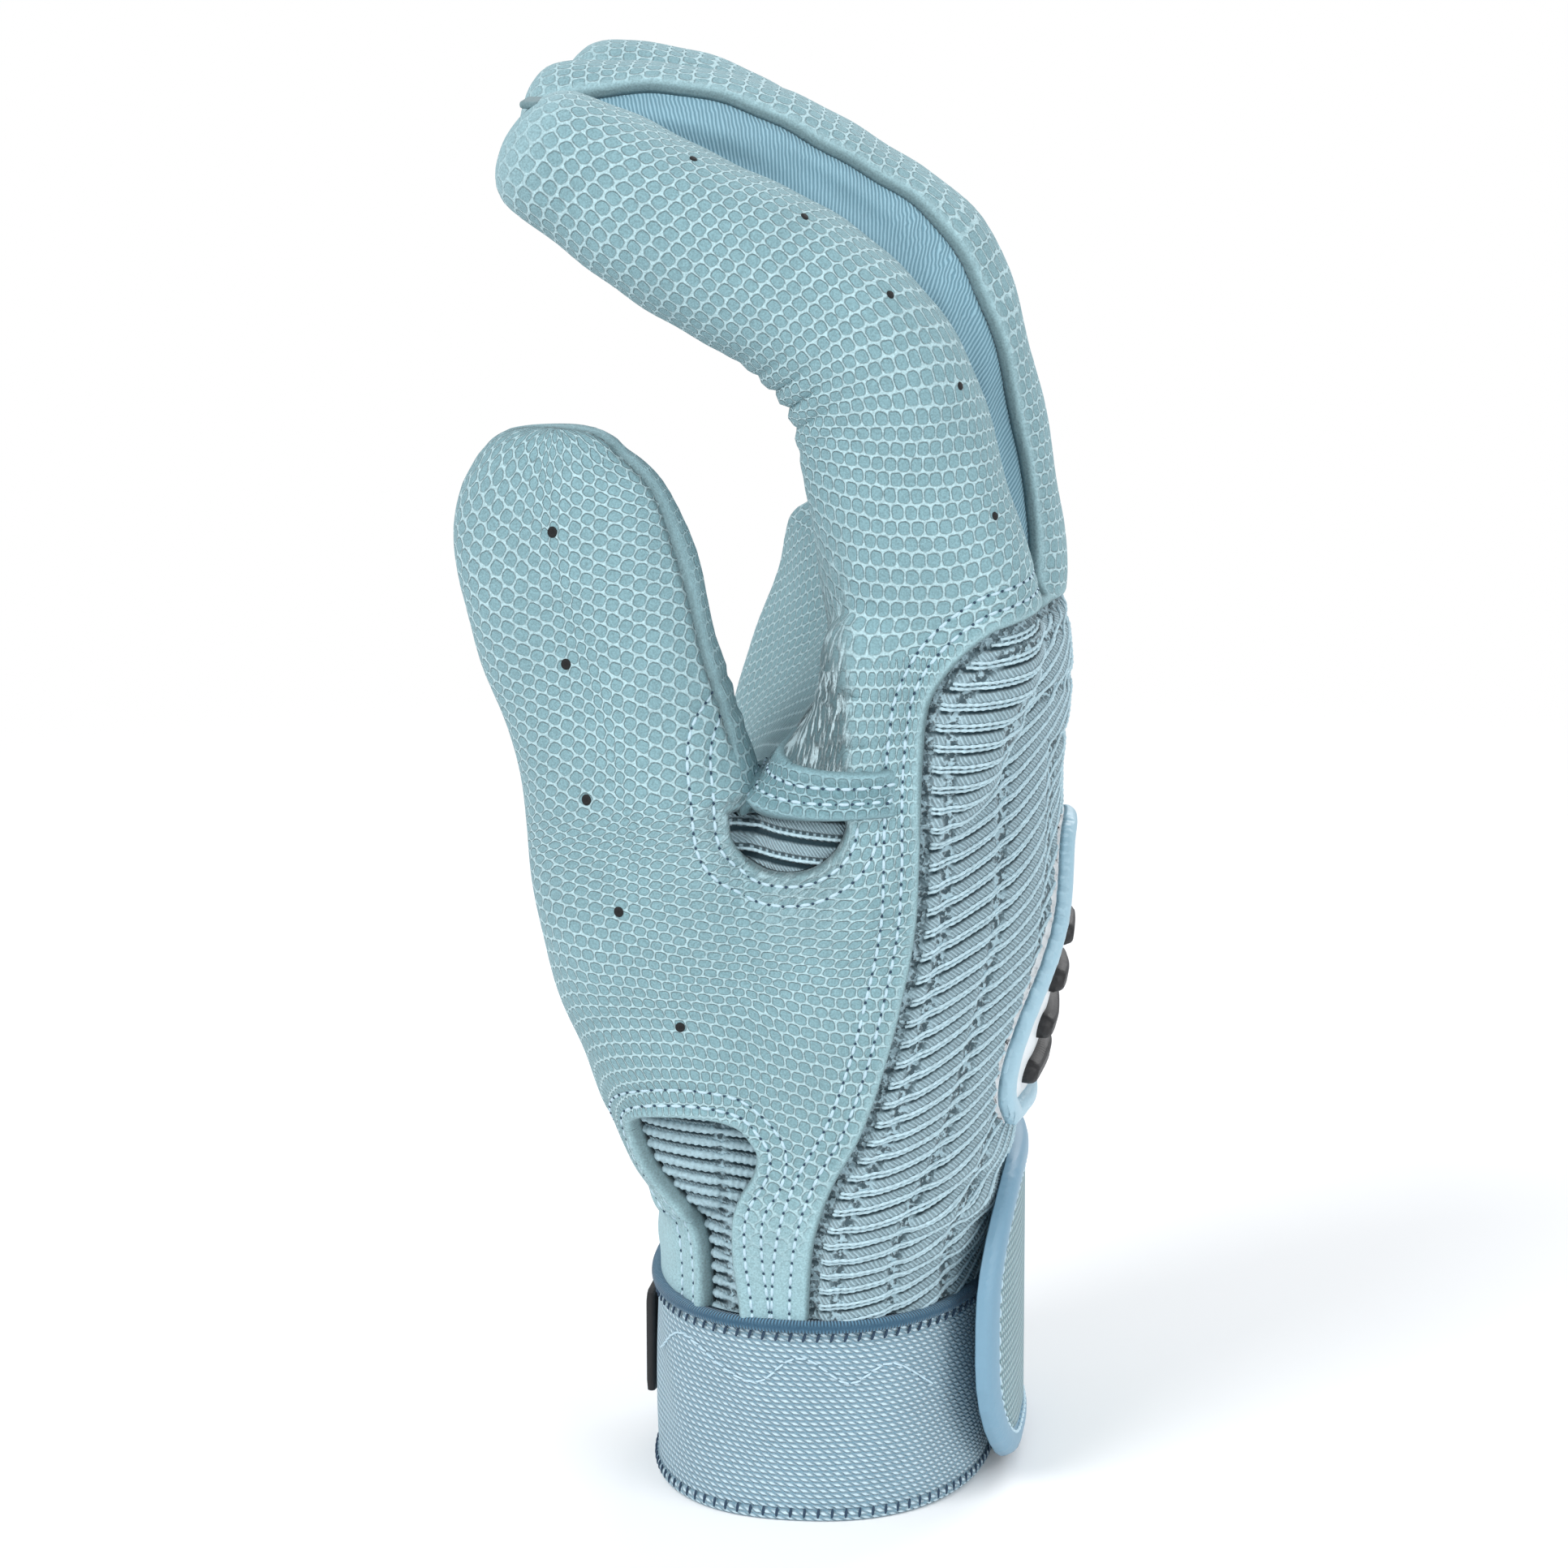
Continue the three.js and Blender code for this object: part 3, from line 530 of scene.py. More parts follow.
def in_box(shape, box):
    left, right, low, high = box
    return [(left + a * (right - left), low + b * (high - low)) for a, b in shape]


def smooth_step(value, low, high):
    t = np.clip((value - low) / (high - low), 0, 1)
    return t * t * (3 - 2 * t)


def root_fold(body):
    """A point of a body, how far the body leans there, and how far up from it its root fold begins."""
    if body == "thumb":
        return (THUMB_FOLD_X, THUMB_ACROSS, THUMB_FOLD_Z), -math.radians(THUMB_LEAN), -THUMB_FOLD_HEIGHT / 2
    finger = FINGERS[body]
    out, up = finger["path"][1]
    lean = math.atan2(out * finger["reach"], up * finger["rise"])
    knuckle = finger["out"], finger["across"], HAND_TOP - finger["drop"]
    return knuckle, lean, finger["drop"] - FOLD_DROP - FOLD_HEIGHT / 2


def fold_height(body, points):
    """How far points are above the bottom of a root fold."""
    (x, _, z), lean, lift = root_fold(body)
    return (points[:, 0] - x) * math.sin(lean) + (points[:, 2] - z) * math.cos(lean) - lift


def fold_point(body, height):
    """A point in the middle of a body, at a height above the bottom of its root fold."""
    (x, y, z), lean, lift = root_fold(body)
    reach = lift + height
    return x + math.sin(lean) * reach, y, z + math.cos(lean) * reach


def near_line(points, line, halves):
    """For each point, where it is by a line in a plane across Y.

    Returns the run along the line, the distances across it in its plane and along Y, and its half sizes.
    """
    line_run = run_of(line)
    tangents = unit(np.gradient(line, axis=0)[:, [0, 2]])
    flat = points[:, [0, 2]]
    away = sum((flat[:, None, k] - line[None, :, 2 * k]) ** 2 for k in (0, 1))
    index = away.argmin(1)
    run = line_run[index] + ((flat - line[index][:, [0, 2]]) * tangents[index]).sum(1)
    middle, tangent, half = (rows_at(run, line_run, table) for table in (line, tangents, halves))
    rel = flat - middle[:, [0, 2]]
    across = rel[:, 0] * tangent[:, 1] - rel[:, 1] * tangent[:, 0]
    return run, across, points[:, 1] - middle[:, 1], half


def hand_skin():
    """One smooth surface over the hand, the thumb and the fingers."""
    solids = [hand_loft(), tube_loft(*thumb_line(), tip=THUMB_TIP)]
    solids += [tube_loft(*finger_line(name), slim=FINGER_SLIM) for name in FINGERS]
    verts, faces, start = [], [], 0
    for part_verts, part_faces in solids:
        verts.append(part_verts)
        faces += [tuple(corner + start for corner in face) for face in part_faces]
        start += len(part_verts)
    mesh = bpy.data.meshes.new("skin_work")
    mesh.from_pydata(np.vstack(verts).tolist(), [], faces)
    work = linked("skin_work", mesh)
    remesh = work.modifiers.new("even", "REMESH")
    remesh.mode = "VOXEL"
    remesh.voxel_size = VOXEL
    even = work.evaluated_get(bpy.context.evaluated_depsgraph_get()).to_mesh()
    even.calc_loop_triangles()
    points, corners = read(even.vertices, "co", 3), read(even.loop_triangles, "vertices", 3, np.int32)
    bpy.data.objects.remove(work)
    bpy.data.meshes.remove(mesh)
    sheet = Sheet(points, corners).relaxed(RELAX_ROUNDS)
    x, y, z = sheet.verts.T
    for name, finger in FINGERS.items():
        low, high = SLAB_EDGES[name]
        mine = (y > low) & (y < high) & (x > finger["out"] - 90)
        off_thumb = (z > FINGERS_CLEAR) | (x > finger["out"] - finger["depth"])
        side = (y - finger["across"]) / (finger["width"] / 2)
        widen = FINGER_SLIM * smooth_step(fold_height(name, sheet.verts), 3, 12) * side
        sheet.verts[:, 1] += np.where(mine & off_thumb, widen, 0)
    return sheet


def wave(points, direction, length, phase=0.0):
    return np.sin(points @ np.asarray(direction) * 2 * math.pi / length + phase)


def dent(points, centre, radius):
    return np.exp(-(((points - np.asarray(centre)) / np.asarray(radius)) ** 2).sum(1))


def crumpled(sheet):
    """The skin with the soft dents, creases and folds of worn cloth and leather."""
    p = sheet.verts
    x, y, z = p.T
    turn = 2 * math.pi
    lumps = sum(high * wave(p, *shape) for high, *shape in LUMPS)
    warp = x + 1.6 * np.sin(z / 4.1) - 0.35 * z
    crotch = dent(p, (0, -34, 118), (9, 14, 7))
    lumps += crotch * (0.45 * np.sin(warp * turn / 3.9) + 0.3 * np.sin(warp * turn / 2.3 + 1))
    for low, tilt in CREASES:
        line = z - low - tilt * (x - 8)
        reach = smooth_step(x, 4, 7) * smooth_step(19, x, x + 4) * (y < -24)
        lumps -= 0.5 * reach * np.exp(-((line / 0.55) ** 2))
    inner_bend = dent(p, (2, -31, 157), (7, 16, 7))
    lumps += inner_bend * 0.6 * np.sin((z - 0.8 * x) * turn / 3.8)
    wrist = dent(p, (24, -20, 40), (16, 26, 9))
    lumps += wrist * (0.5 * np.sin(z * turn / 6.5 + y / 9) + 0.5)
    heel = dent(p, (-20, 0, 38), (14, 30, 9))
    lumps += heel * 0.6 * np.sin(z * turn / 7.5 + y / 12)
    sheet.verts = gathered(p + sheet.normals() * lumps[:, None])
    return sheet


def gathered(points):
    """The points with the lowest part of the hand drawn in to the opening of the cuff."""
    x, y, z = points.T
    wide, deep = CUFF_WIDTH / 2 - BINDING_COVER, CUFF_DEPTH / 2 - BINDING_COVER
    reach = 2 / SQUARENESS
    oval = (np.abs(x / deep) ** reach + np.abs(y / wide) ** reach) ** (1 / reach)
    drawn = 1 - smooth_step(z, HAND_LOW, HAND_LOW + GATHER_HEIGHT)
    scale = 1 + drawn * (1 / np.maximum(oval, 0.2) - 1)
    return np.stack([x * scale, y * scale, z], 1)


def measured(sheet):
    """The skin with the fields that its pieces are cut along, each in millimetres."""
    p = sheet.verts
    x, y, z = p.T
    data = body_fields(p)
    for name, finger in FINGERS.items():
        low, high = SLAB_EDGES[name]
        near = (y > low) & (y < high) & ((x > finger["out"] - finger["depth"]) | (z > FINGERS_CLEAR))
        for side in finger["gussets"]:
            over = side * (y - finger["across"]) - GUSSET_SHARE * finger["width"] / 2
            over = np.minimum(over, fold_height(name, p) - 1.5)
            data[f"{name}_side_{side}"] = np.where(near, over, -50)
    _, across, back, half = near_line(p, *thumb_line())
    wide, deep = half.T
    front = -(back + deep * (0.12 + 0.33 * across / wide))
    data["thumb_seam"] = np.maximum(front, -data["thumb"])
    data["thumb_side"] = np.abs(front) + 4 * (1 - smooth_step(data["thumb"], 0.5, 3))
    side = x + BORDER_SLOPE * (y + HALF_WIDTH)
    border = [(out * HALF_DEPTH, HAND_LOW + up * HAND_HEIGHT) for out, up in BORDER]
    knit = polygon_distance(np.stack([side, z], 1), rounded(border))
    data["knit_edge"] = np.maximum.reduce([-knit, *(data[name] for name in FINGERS)])
    data["low"] = z - LOW_EDGE
    for name, shape, box in (
        ("crotch", CROTCH_SHAPE, CROTCH_BOX), ("wrist", WRIST_SHAPE, WRIST_BOX), ("web", WEB_SHAPE, WEB_BOX),
        ("fork", CROTCH_SHAPE[:-1] + FORK_TOP, CROTCH_BOX),
    ):
        opening = polygon_distance(p[:, [0, 2]], rounded(in_box(shape, box)))
        data[name] = np.minimum(opening, SIDE_DEEP - y)
    sheet.data = data
    return sheet


def straightened(points):
    """The points with each bent finger laid straight, as its leather was before it was worn."""
    out = points.copy()
    fields = body_fields(points)
    for name in FINGERS:
        line, halves = finger_line(name)
        run, across, _, _ = near_line(points, line, halves)
        start = int(np.argmin(np.abs(line[:, 2] - fold_point(name, FOLD_HEIGHT / 2)[2])))
        run -= run_of(line)[start]
        tx, _, tz = unit(line[None, start + 1] - line[start - 1])[0]
        x, _, z = line[start]
        moved = np.stack([x + tx * run + tz * across, points[:, 1], z + tz * run - tx * across], 1)
        mine = (fields[name] > 0) & (run > 0)
        out[mine] = moved[mine]
    return out


def unwrapped(sheet, right, up, facing, fineness=5000):
    """A flat layout of the sheet in millimetres, level where the sheet faces a direction."""
    mesh = bpy.data.meshes.new("flat_work")
    mesh.from_pydata(sheet.verts.tolist(), [], sheet.faces.tolist())
    work = linked("flat_work", mesh)
    thinner = work.modifiers.new("thinner", "DECIMATE")
    thinner.ratio = min(fineness / len(sheet.faces), 1.0)
    thinned = work.evaluated_get(bpy.context.evaluated_depsgraph_get())
    coarse = bpy.data.meshes.new_from_object(thinned)
    work.modifiers.clear()
    work.data = coarse
    coarse.calc_loop_triangles()
    points = read(coarse.vertices, "co", 3)
    triangles = read(coarse.loop_triangles, "vertices", 3, np.int32)
    straight = straightened(points)
    coarse.vertices.foreach_set("co", straight.ravel())
    coarse.uv_layers.new(name="flow")
    for other in bpy.context.selected_objects:
        other.select_set(False)
    bpy.context.view_layer.objects.active = work
    work.select_set(True)
    bpy.ops.object.mode_set(mode="EDIT")
    bpy.ops.mesh.select_all(action="SELECT")
    bpy.ops.uv.unwrap(method="MINIMUM_STRETCH", iterations=UNWRAP_ROUNDS, margin=0)
    bpy.ops.object.mode_set(mode="OBJECT")
    flat = np.zeros((len(points), 2))
    loops = read(coarse.loops, "vertex_index", 1, np.int32)[:, 0]
    flat[loops] = read(coarse.uv_layers["flow"].uv, "vector", 2)
    flat *= math.sqrt(doubled_areas(straight, triangles).sum() / doubled_areas(flat, triangles).sum())
    bpy.data.objects.remove(work)
    bpy.data.meshes.remove(mesh)
    bpy.data.meshes.remove(coarse)
    tree = BVHTree.FromPolygons(points.tolist(), triangles.tolist())
    found = [tree.find_nearest(point) for point in sheet.verts.tolist()]
    near = np.array([hit[0] for hit in found])
    a, b, c = triangles[[hit[2] for hit in found]].T
    ab, ac, ap = points[b] - points[a], points[c] - points[a], near - points[a]
    d00, d01, d11 = (ab * ab).sum(1), (ab * ac).sum(1), (ac * ac).sum(1)
    d20, d21 = (ap * ab).sum(1), (ap * ac).sum(1)
    scale = np.maximum(d00 * d11 - d01 * d01, 1e-12)
    second, third = (d11 * d20 - d01 * d21) / scale, (d00 * d21 - d01 * d20) / scale
    flat = flat[a] * (1 - second - third)[:, None] + flat[b] * second[:, None] + flat[c] * third[:, None]
    target = straight[a] @ np.array([right, up], float).T
    turned = sheet.normals() @ np.array(facing, float)
    level = turned >= min(0.6, np.sort(turned)[-len(turned) // 4])
    return fitted(flat, level, target)


def fitted(flat, mask, target):
    """A flat layout turned and moved to lie as close to a target as it can."""
    middle, goal = flat[mask].mean(0), target[mask].mean(0)
    w = (target[mask] - goal) @ np.array([1, 1j])
    best = None
    for flip in (1, -1):
        s = (flat[mask] - middle) @ np.array([1, 1j * flip])
        turn = (np.conj(s) * w).sum() / (np.abs(s) ** 2).sum()
        left_over = (np.abs(s * turn - w) ** 2).sum()
        if best is None or left_over < best[0]:
            best = left_over, turn, flip
    _, turn, flip = best
    out = (flat - middle) @ np.array([1, 1j * flip]) * turn / abs(turn)
    return np.stack([out.real, out.imag], 1) + goal


def doubled_areas(points, faces):
    a, b, c = (points[faces[:, k]] for k in range(3))
    if points.shape[1] == 2:
        return np.abs((b - a)[:, 0] * (c - a)[:, 1] - (b - a)[:, 1] * (c - a)[:, 0])
    return np.linalg.norm(np.cross(b - a, c - a), axis=1)


def to_scene(points):
    return (np.asarray(points, float) + SHIFT) * MM


def mesh_piece(name, verts, faces, material, flow=None, values=None, normals=None):
    """A smooth mesh object from points in millimetres, with its flat layout and its values."""
    mesh = bpy.data.meshes.new(name)
    mesh.from_pydata(to_scene(verts).tolist(), [], np.asarray(faces).tolist())
    if flow is not None:
        corners = read(mesh.loops, "vertex_index", 1, np.int32)[:, 0]
        layer = mesh.uv_layers.new(name="flow")
        layer.uv.foreach_set("vector", np.asarray(flow, np.float32)[corners].ravel())
    for key, numbers in (values or {}).items():
        attribute = mesh.attributes.new(key, "FLOAT", "POINT")
        attribute.data.foreach_set("value", np.asarray(numbers, np.float32))
    mesh.shade_smooth()
    if normals is not None:
        mesh.normals_split_custom_set_from_vertices(normals.tolist())
    mesh.materials.append(material)
    return linked(name, mesh)


def fix(piece, body, slot, *nodes):
    """Attaches a piece to a body; for the thumb and the fingers it only bakes the piece's transform."""
    if body in (*FINGERS, "thumb"):
        bend = THUMB_BEND if body == "thumb" else FOLD_HEIGHT
        ends = [to_scene(fold_point(body, height)) for height in (0, bend)]
        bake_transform(piece)
    else:
        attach(piece, body)
    if nodes:
        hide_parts(*nodes)
    return piece


def plate(name, sheet, high, low, material, flow=None, values=None, normals=None, back=None):
    """A sheet of cloth or leather with a thickness: its face, its back and the rims between."""
    out = sheet.normals() if back is None else back
    count, f = len(sheet.verts), sheet.faces
    face, under = (sheet.verts + out * np.broadcast_to(rise, count)[:, None] for rise in (high, low))
    pairs = face_edges(f)
    keys = np.sort(pairs, axis=1) @ np.array([count, 1])
    _, first, times = np.unique(keys, return_index=True, return_counts=True)
    a, b = pairs[first[times == 1]].T
    rims = np.vstack([np.stack([b, a, a + count], 1), np.stack([b, a + count, b + count], 1)])
    faces = np.vstack([f, f[:, ::-1] + count, rims])
    shown = Sheet(face, f).normals() if normals is None else normals
    both = {key: np.concatenate([numbers, numbers]) for key, numbers in (values or {}).items()}
    doubled = None if flow is None else np.vstack([flow, flow])
    verts, shown = np.vstack([face, under]), np.vstack([shown, -out])
    return mesh_piece(name, verts, faces, material, doubled, both, shown)


def body_fields(points):
    """For each body with a root fold, how far inside its skin the points are."""
    x, y, z = points.T
    out = {}
    for name, finger in FINGERS.items():
        low, high = SLAB_EDGES[name]
        clear = np.maximum(x - (finger["out"] - finger["depth"]), z - FINGERS_CLEAR)
        out[name] = np.minimum.reduce([fold_height(name, points), y - low, high - y, clear])
    ends = [FORK_VALLEY - x, THUMB_BACK - y, THUMB_HIGH - z]
    out["thumb"] = np.minimum.reduce([fold_height("thumb", points), *ends])
    return out


def spaced(points, normals, pitch):
    """Points, directions and normals at even steps along a chain, its small kinks smoothed."""
    points = eased(points, 2, 3) if len(points) > 12 else points
    run = run_of(points)
    count = max(int(run[-1] / pitch), 2)
    at = (np.arange(count) + 0.5) * run[-1] / count
    place, out = rows_at(at, run, points), unit(rows_at(at, run, normals))
    along = np.gradient(place, axis=0)
    return place, unit(along - out * (along * out).sum(1)[:, None]), out


# A stitch's sections: place along it, thickness and lift, as shares
STITCH_ROWS = [
    (-1, 0.25, -0.5), (-0.8, 0.8, -0.15), (-0.4, 1, 0.1), (0, 1, 0.18), (0.4, 1, 0.1), (0.8, 0.8, -0.15),
    (1, 0.25, -0.5),
]
STITCH_SIDES = 6


def stitch_mesh(place, along, out, length, radius, turn=0.0):
    """A small rounded thread at each place, its ends sinking into the cloth."""
    across = np.cross(out, along)
    turned = along * math.cos(turn) + across * math.sin(turn)
    beside = across * math.cos(turn) - along * math.sin(turn)
    verts = [
        place + turned * run * length / 2 + beside * math.cos(angle) * radius * thick
        + out * (lift + math.sin(angle) * thick * 0.85) * radius
        for run, thick, lift in STITCH_ROWS
        for angle in np.linspace(0, 2 * math.pi, STITCH_SIDES, endpoint=False)
    ]
    starts = np.arange(len(place))[:, None, None] * len(verts)
    faces = grid_faces(len(STITCH_ROWS), STITCH_SIDES) + starts
    return np.stack(verts, 1).reshape(-1, 3), faces.reshape(-1, 3)


def stitches(points, normals, radius, pitch=None, length=None, turn=0.0):
    """Stitches at even steps along a chain."""
    place, along, out = spaced(points, normals, pitch or size("stitch_pitch"))
    return stitch_mesh(place, along, out, length or size("stitch_length"), radius, turn)


def tube_mesh(points, normals, radius, sides, lift=0.1):
    """A tube along a chain of points that lies on a surface with these normals."""
    along = unit(np.gradient(points, axis=0))
    out = unit(normals - along * (normals * along).sum(1)[:, None])
    across = np.cross(along, out)
    rings = []
    for angle in np.linspace(0, 2 * math.pi, sides, endpoint=False):
        up, beside = lift + radius * math.sin(angle), radius * math.cos(angle)
        rings.append(points + out * up[:, None] + across * beside[:, None])
    ends = points[[0, -1]] + out[[0, -1]] * lift
    start, last = len(points) * sides, (len(points) - 1) * sides
    caps = []
    for side in range(sides):
        after = (side + 1) % sides
        caps += [(start, side, after), (start + 1, last + after, last + side)]
    verts = np.vstack([np.stack(rings, 1).reshape(-1, 3), ends])
    return verts, np.vstack([grid_faces(len(points), sides)[:, ::-1], caps])


def joined(parts):
    verts, faces, start = [], [], 0
    for part_verts, part_faces in parts:
        verts.append(part_verts)
        faces.append(part_faces + start)
        start += len(part_verts)
    return np.vstack(verts), np.vstack(faces)


def srgb(red, green, blue):
    """A colour given in 0 to 255, as linear RGBA."""
    levels = (red, green, blue)
    return (*(((c / 255 + 0.055) / 1.055) ** 2.4 if c > 10 else c / 255 / 12.92 for c in levels), 1.0)


class Value:
    """A number in a material, with arithmetic."""

    def __init__(self, paint, socket):
        self.paint = paint
        self.socket = socket

    def __add__(self, other):
        return self.paint.math("ADD", self, other)

    def __sub__(self, other):
        return self.paint.math("SUBTRACT", self, other)

    def __rsub__(self, other):
        return self.paint.math("SUBTRACT", other, self)

    def __mul__(self, other):
        return self.paint.math("MULTIPLY", self, other)

    def __truediv__(self, other):
        return self.paint.math("DIVIDE", self, other)

    def __pow__(self, other):
        return self.paint.math("POWER", self, other)

    def __abs__(self):
        return self.paint.math("ABSOLUTE", self)

    def floor(self):
        return self.paint.math("FLOOR", self)

    def fraction(self):
        return self.paint.math("FRACT", self)

    def odd(self):
        return self.paint.math("FLOORED_MODULO", self, 2.0)

    def sine(self):
        return self.paint.math("SINE", self)

    def ramp(self, low, high):
        """0 at low and 1 at high, smoothly, also where low is the larger one."""
        node = self.paint.node(
            "ShaderNodeMapRange", {"interpolation_type": "SMOOTHSTEP"},
            {"Value": self, "From Min": low, "From Max": high},
        )
        return Value(self.paint, node.outputs["Result"])


class Paint:
    """The nodes of one material."""

    def __init__(self, name, **inputs):
        self.material = bpy.data.materials.new(name)
        self.material.use_nodes = True
        self.tree = self.material.node_tree
        self.shader = self.tree.nodes["Principled BSDF"]
        self.set(self.shader, inputs)

    def set(self, node, inputs):
        for key, value in inputs.items():
            socket = node.inputs[key]
            source = getattr(value, "socket", value)
            if isinstance(source, bpy.types.NodeSocket):
                self.tree.links.new(source, socket)
            else:
                socket.default_value = source

    def node(self, kind, settings=None, inputs=None):
        node = self.tree.nodes.new(kind)
        for key, value in (settings or {}).items():
            setattr(node, key, value)
        self.set(node, inputs or {})
        return node

    def math(self, operation, *values):
        node = self.node("ShaderNodeMath", {"operation": operation}, dict(enumerate(values)))
        return Value(self, node.outputs[0])

    def mix(self, factor, first, second):
        node = self.node(
            "ShaderNodeMix", {"data_type": "RGBA"}, {"Factor": factor, 6: first, 7: second},
        )
        return node.outputs[2]

    def scaled(self, colour, amount):
        """A colour times a number."""
        colour = colour[:3] if isinstance(colour, tuple) else colour
        node = self.node("ShaderNodeVectorMath", {"operation": "SCALE"}, {0: colour, "Scale": amount})
        return node.outputs[0]

    def flow(self):
        """The piece's flat layout in millimetres."""
        source = self.node("ShaderNodeUVMap", {"uv_map": "flow"})
        parts = self.node("ShaderNodeSeparateXYZ", {}, {0: source.outputs[0]})
        return Value(self, parts.outputs[0]), Value(self, parts.outputs[1])

    def held(self, key):
        """A value that the mesh holds at its corners."""
        return Value(self, self.node("ShaderNodeAttribute", {"attribute_name": key}).outputs["Fac"])

    def noise(self, size, detail=2.0, where=None):
        """Noise round 0.5 with lumps of about this size in millimetres."""
        if where is None:
            where = self.node("ShaderNodeTexCoord").outputs["Object"]
            scale = 1 / (size * MM)
        else:
            scale = 1 / size
        node = self.node("ShaderNodeTexNoise", {}, {"Vector": where, "Scale": scale, "Detail": detail})
        return Value(self, node.outputs[0])

    def vector(self, x, y, z=0.0):
        return self.node("ShaderNodeCombineXYZ", {}, {0: x, 1: y, 2: z}).outputs[0]

    def bump(self, height, depth):
        """Relief of a height from 0 to 1, of a depth in millimetres."""
        node = self.node("ShaderNodeBump", {}, {"Height": height, "Distance": depth * MM, "Strength": 1.0})
        self.set(self.shader, {"Normal": node.outputs[0]})

    def colour(self, value):
        self.set(self.shader, {"Base Color": value})
        return self.material


def leather_paint(name, dent_colour, net_colour, pitch, plain=False):
    """Matt suede with a staggered net of small pressed dimples, grey and creased where it is worn, with
    painted shade in the fold valleys, painted highlights on the fold ridges and painted shade towards its
    edges.
    """
    sheen = {"Specular IOR Level": 0.28, "Sheen Weight": 0.1, "Sheen Roughness": 0.6}
    paint = Paint(name, Roughness=0.78, **sheen)
    u, v = paint.flow()
    warp = (paint.noise(9.0) - 0.5) * 0.9
    across, up = (u + warp) / pitch, (v - warp) / pitch
    row = up.floor()
    cell_x = abs((across + row.odd() * 0.5).fraction() - 0.5)
    cell_y = abs(up.fraction() - 0.5)
    reach = (cell_x**3.0 + cell_y**3.0) ** (1 / 3)
    uneven = (paint.noise(0.6, 1.0) - 0.5) * 0.14
    crease = 0.0 if plain else paint.held("crease")
    shown = 0.12 if plain else paint.held("fade") * (1.0 - crease * 0.75)
    dimple = (reach + uneven).ramp(0.49, 0.36) * shown
    patches = paint.noise(11.0, 3.0)
    nap = paint.noise(0.28, 3.0)
    tone = (patches - 0.5) * 0.25 + (nap - 0.5) * 1.0 + 1.0
    # Painted shade: the colour darkens towards the piece's edges and seams, to half at the very edge, as a
    # contact shadow.
    seam = paint.held("edge").ramp(0.0, 0.8) * 0.5 + 0.5
    wrinkle = paint.noise(1.0, 3.0, paint.vector(u / 0.55 + v * 0.2, v / 2.8))
    height = 1.0 - dimple * (patches * 0.4 + 0.8) * 0.75 + (nap - 0.5) * 0.18
    smooth = paint.scaled(paint.mix(0.5, net_colour, dent_colour), 1.08)
    soft = paint.mix(dimple * 0.8, paint.mix(shown, smooth, net_colour), dent_colour)
    if not plain:
        fold = wrinkle.ramp(0.44, 0.6)
        # Where it is creased: worn grey, darkened as painted shade in the fold valleys, with a painted silver
        # highlight on the raised fold ridges.
        soft = paint.mix(crease * 0.85, soft, paint.mix(fold, WORN_GREY_FOLD_SHADE, FOLD_RIDGE_HIGHLIGHT))
        height = height + crease * fold * 1.2
    paint.bump(height, 0.42)
    return paint.colour(paint.scaled(soft, tone * seam))


def twill_paint(name, light, dark, pitch):
    """Stretch cloth with fine slanting lines."""
    paint = Paint(name, Roughness=0.6, **{"Specular IOR Level": 0.35, "Sheen Weight": 0.15})
    u, v = paint.flow()
    wobble = paint.noise(5.0) * 0.5
    line = ((u * 0.75 + v + wobble) * (2 * math.pi / pitch)).sine() * 0.5 + 0.5
    grain = paint.noise(0.35, 2.0)
    patches = (paint.noise(9.0) - 0.5) * 0.2 + 1.0
    paint.bump(line * (grain * 0.5 + 0.75), 0.12)
    return paint.colour(paint.scaled(paint.mix(line.ramp(0.15, 0.75), dark, light), patches))


def rib_paint(name, light, dark, pitch, slope):
    """Ribbed knit: in each row a dark gap of painted shade, a line of dots between two cords, and a band of
    short strands.
    """
    paint = Paint(name, Roughness=0.85, **{"Specular IOR Level": 0.2, "Sheen Weight": 0.2})
    u, v = paint.flow()
    tangle = (paint.noise(1.6, 2.0) - 0.5) * 0.35
    row = ((v - u * slope) / pitch + tangle * 0.15).fraction()
    strand = ((u + row * pitch * 0.8 + tangle) * (2 * math.pi / 0.55)).sine() * 0.5 + 0.5
    band = row.ramp(0.4, 0.48) * row.ramp(0.95, 0.82)
    dots = (u * (2 * math.pi / 1.0)).sine().ramp(-0.2, 0.6)
    between = row.ramp(0.1, 0.17) * row.ramp(0.44, 0.36) * (dots * 0.6 + 0.1)
    fuzz = paint.noise(0.35, 2.0)
    ladder = paint.held("ladder")
    knots = paint.noise(0.8, 2.0).ramp(0.42, 0.56)
    # Ladder columns are painted dark with light knots: painted shade in their gaps.
    show = (band * (strand * 0.5 + 0.5) + between) * (1.0 - ladder) + ladder * (knots * 0.7 + 0.1)
    tone = paint.mix(show * (fuzz * 0.7 + 0.75), dark, light)
    paint.bump(show + fuzz * 0.25, 0.5)
    return paint.colour(tone)


def dash_paint(name, light, dark, pitch, rise, lean=0.55):
    """Elastic knit: a staggered net of short slanting dashes."""
    paint = Paint(name, Roughness=0.85, **{"Specular IOR Level": 0.2, "Sheen Weight": 0.25})
    u, v = paint.flow()
    tangle = (paint.noise(1.4, 2.0) - 0.5) * 0.4
    up = (v + tangle * 0.35) / rise
    row = up.floor()
    across = (u + tangle * 0.5) / pitch + row.odd() * 0.5 + up.fraction() * lean
    dash = up.fraction().ramp(0.0, 0.35) * up.fraction().ramp(1.0, 0.6)
    dash = dash * across.fraction().ramp(0.0, 0.3) * across.fraction().ramp(1.0, 0.68)
    fuzz = paint.noise(0.3, 2.0)
    paint.bump(dash + fuzz * 0.35, 0.3)
    tone = (paint.noise(8.0) - 0.5) * 0.16 + 1.0
    return paint.colour(paint.scaled(paint.mix(dash * 0.8 + fuzz * 0.35, dark, light), tone))


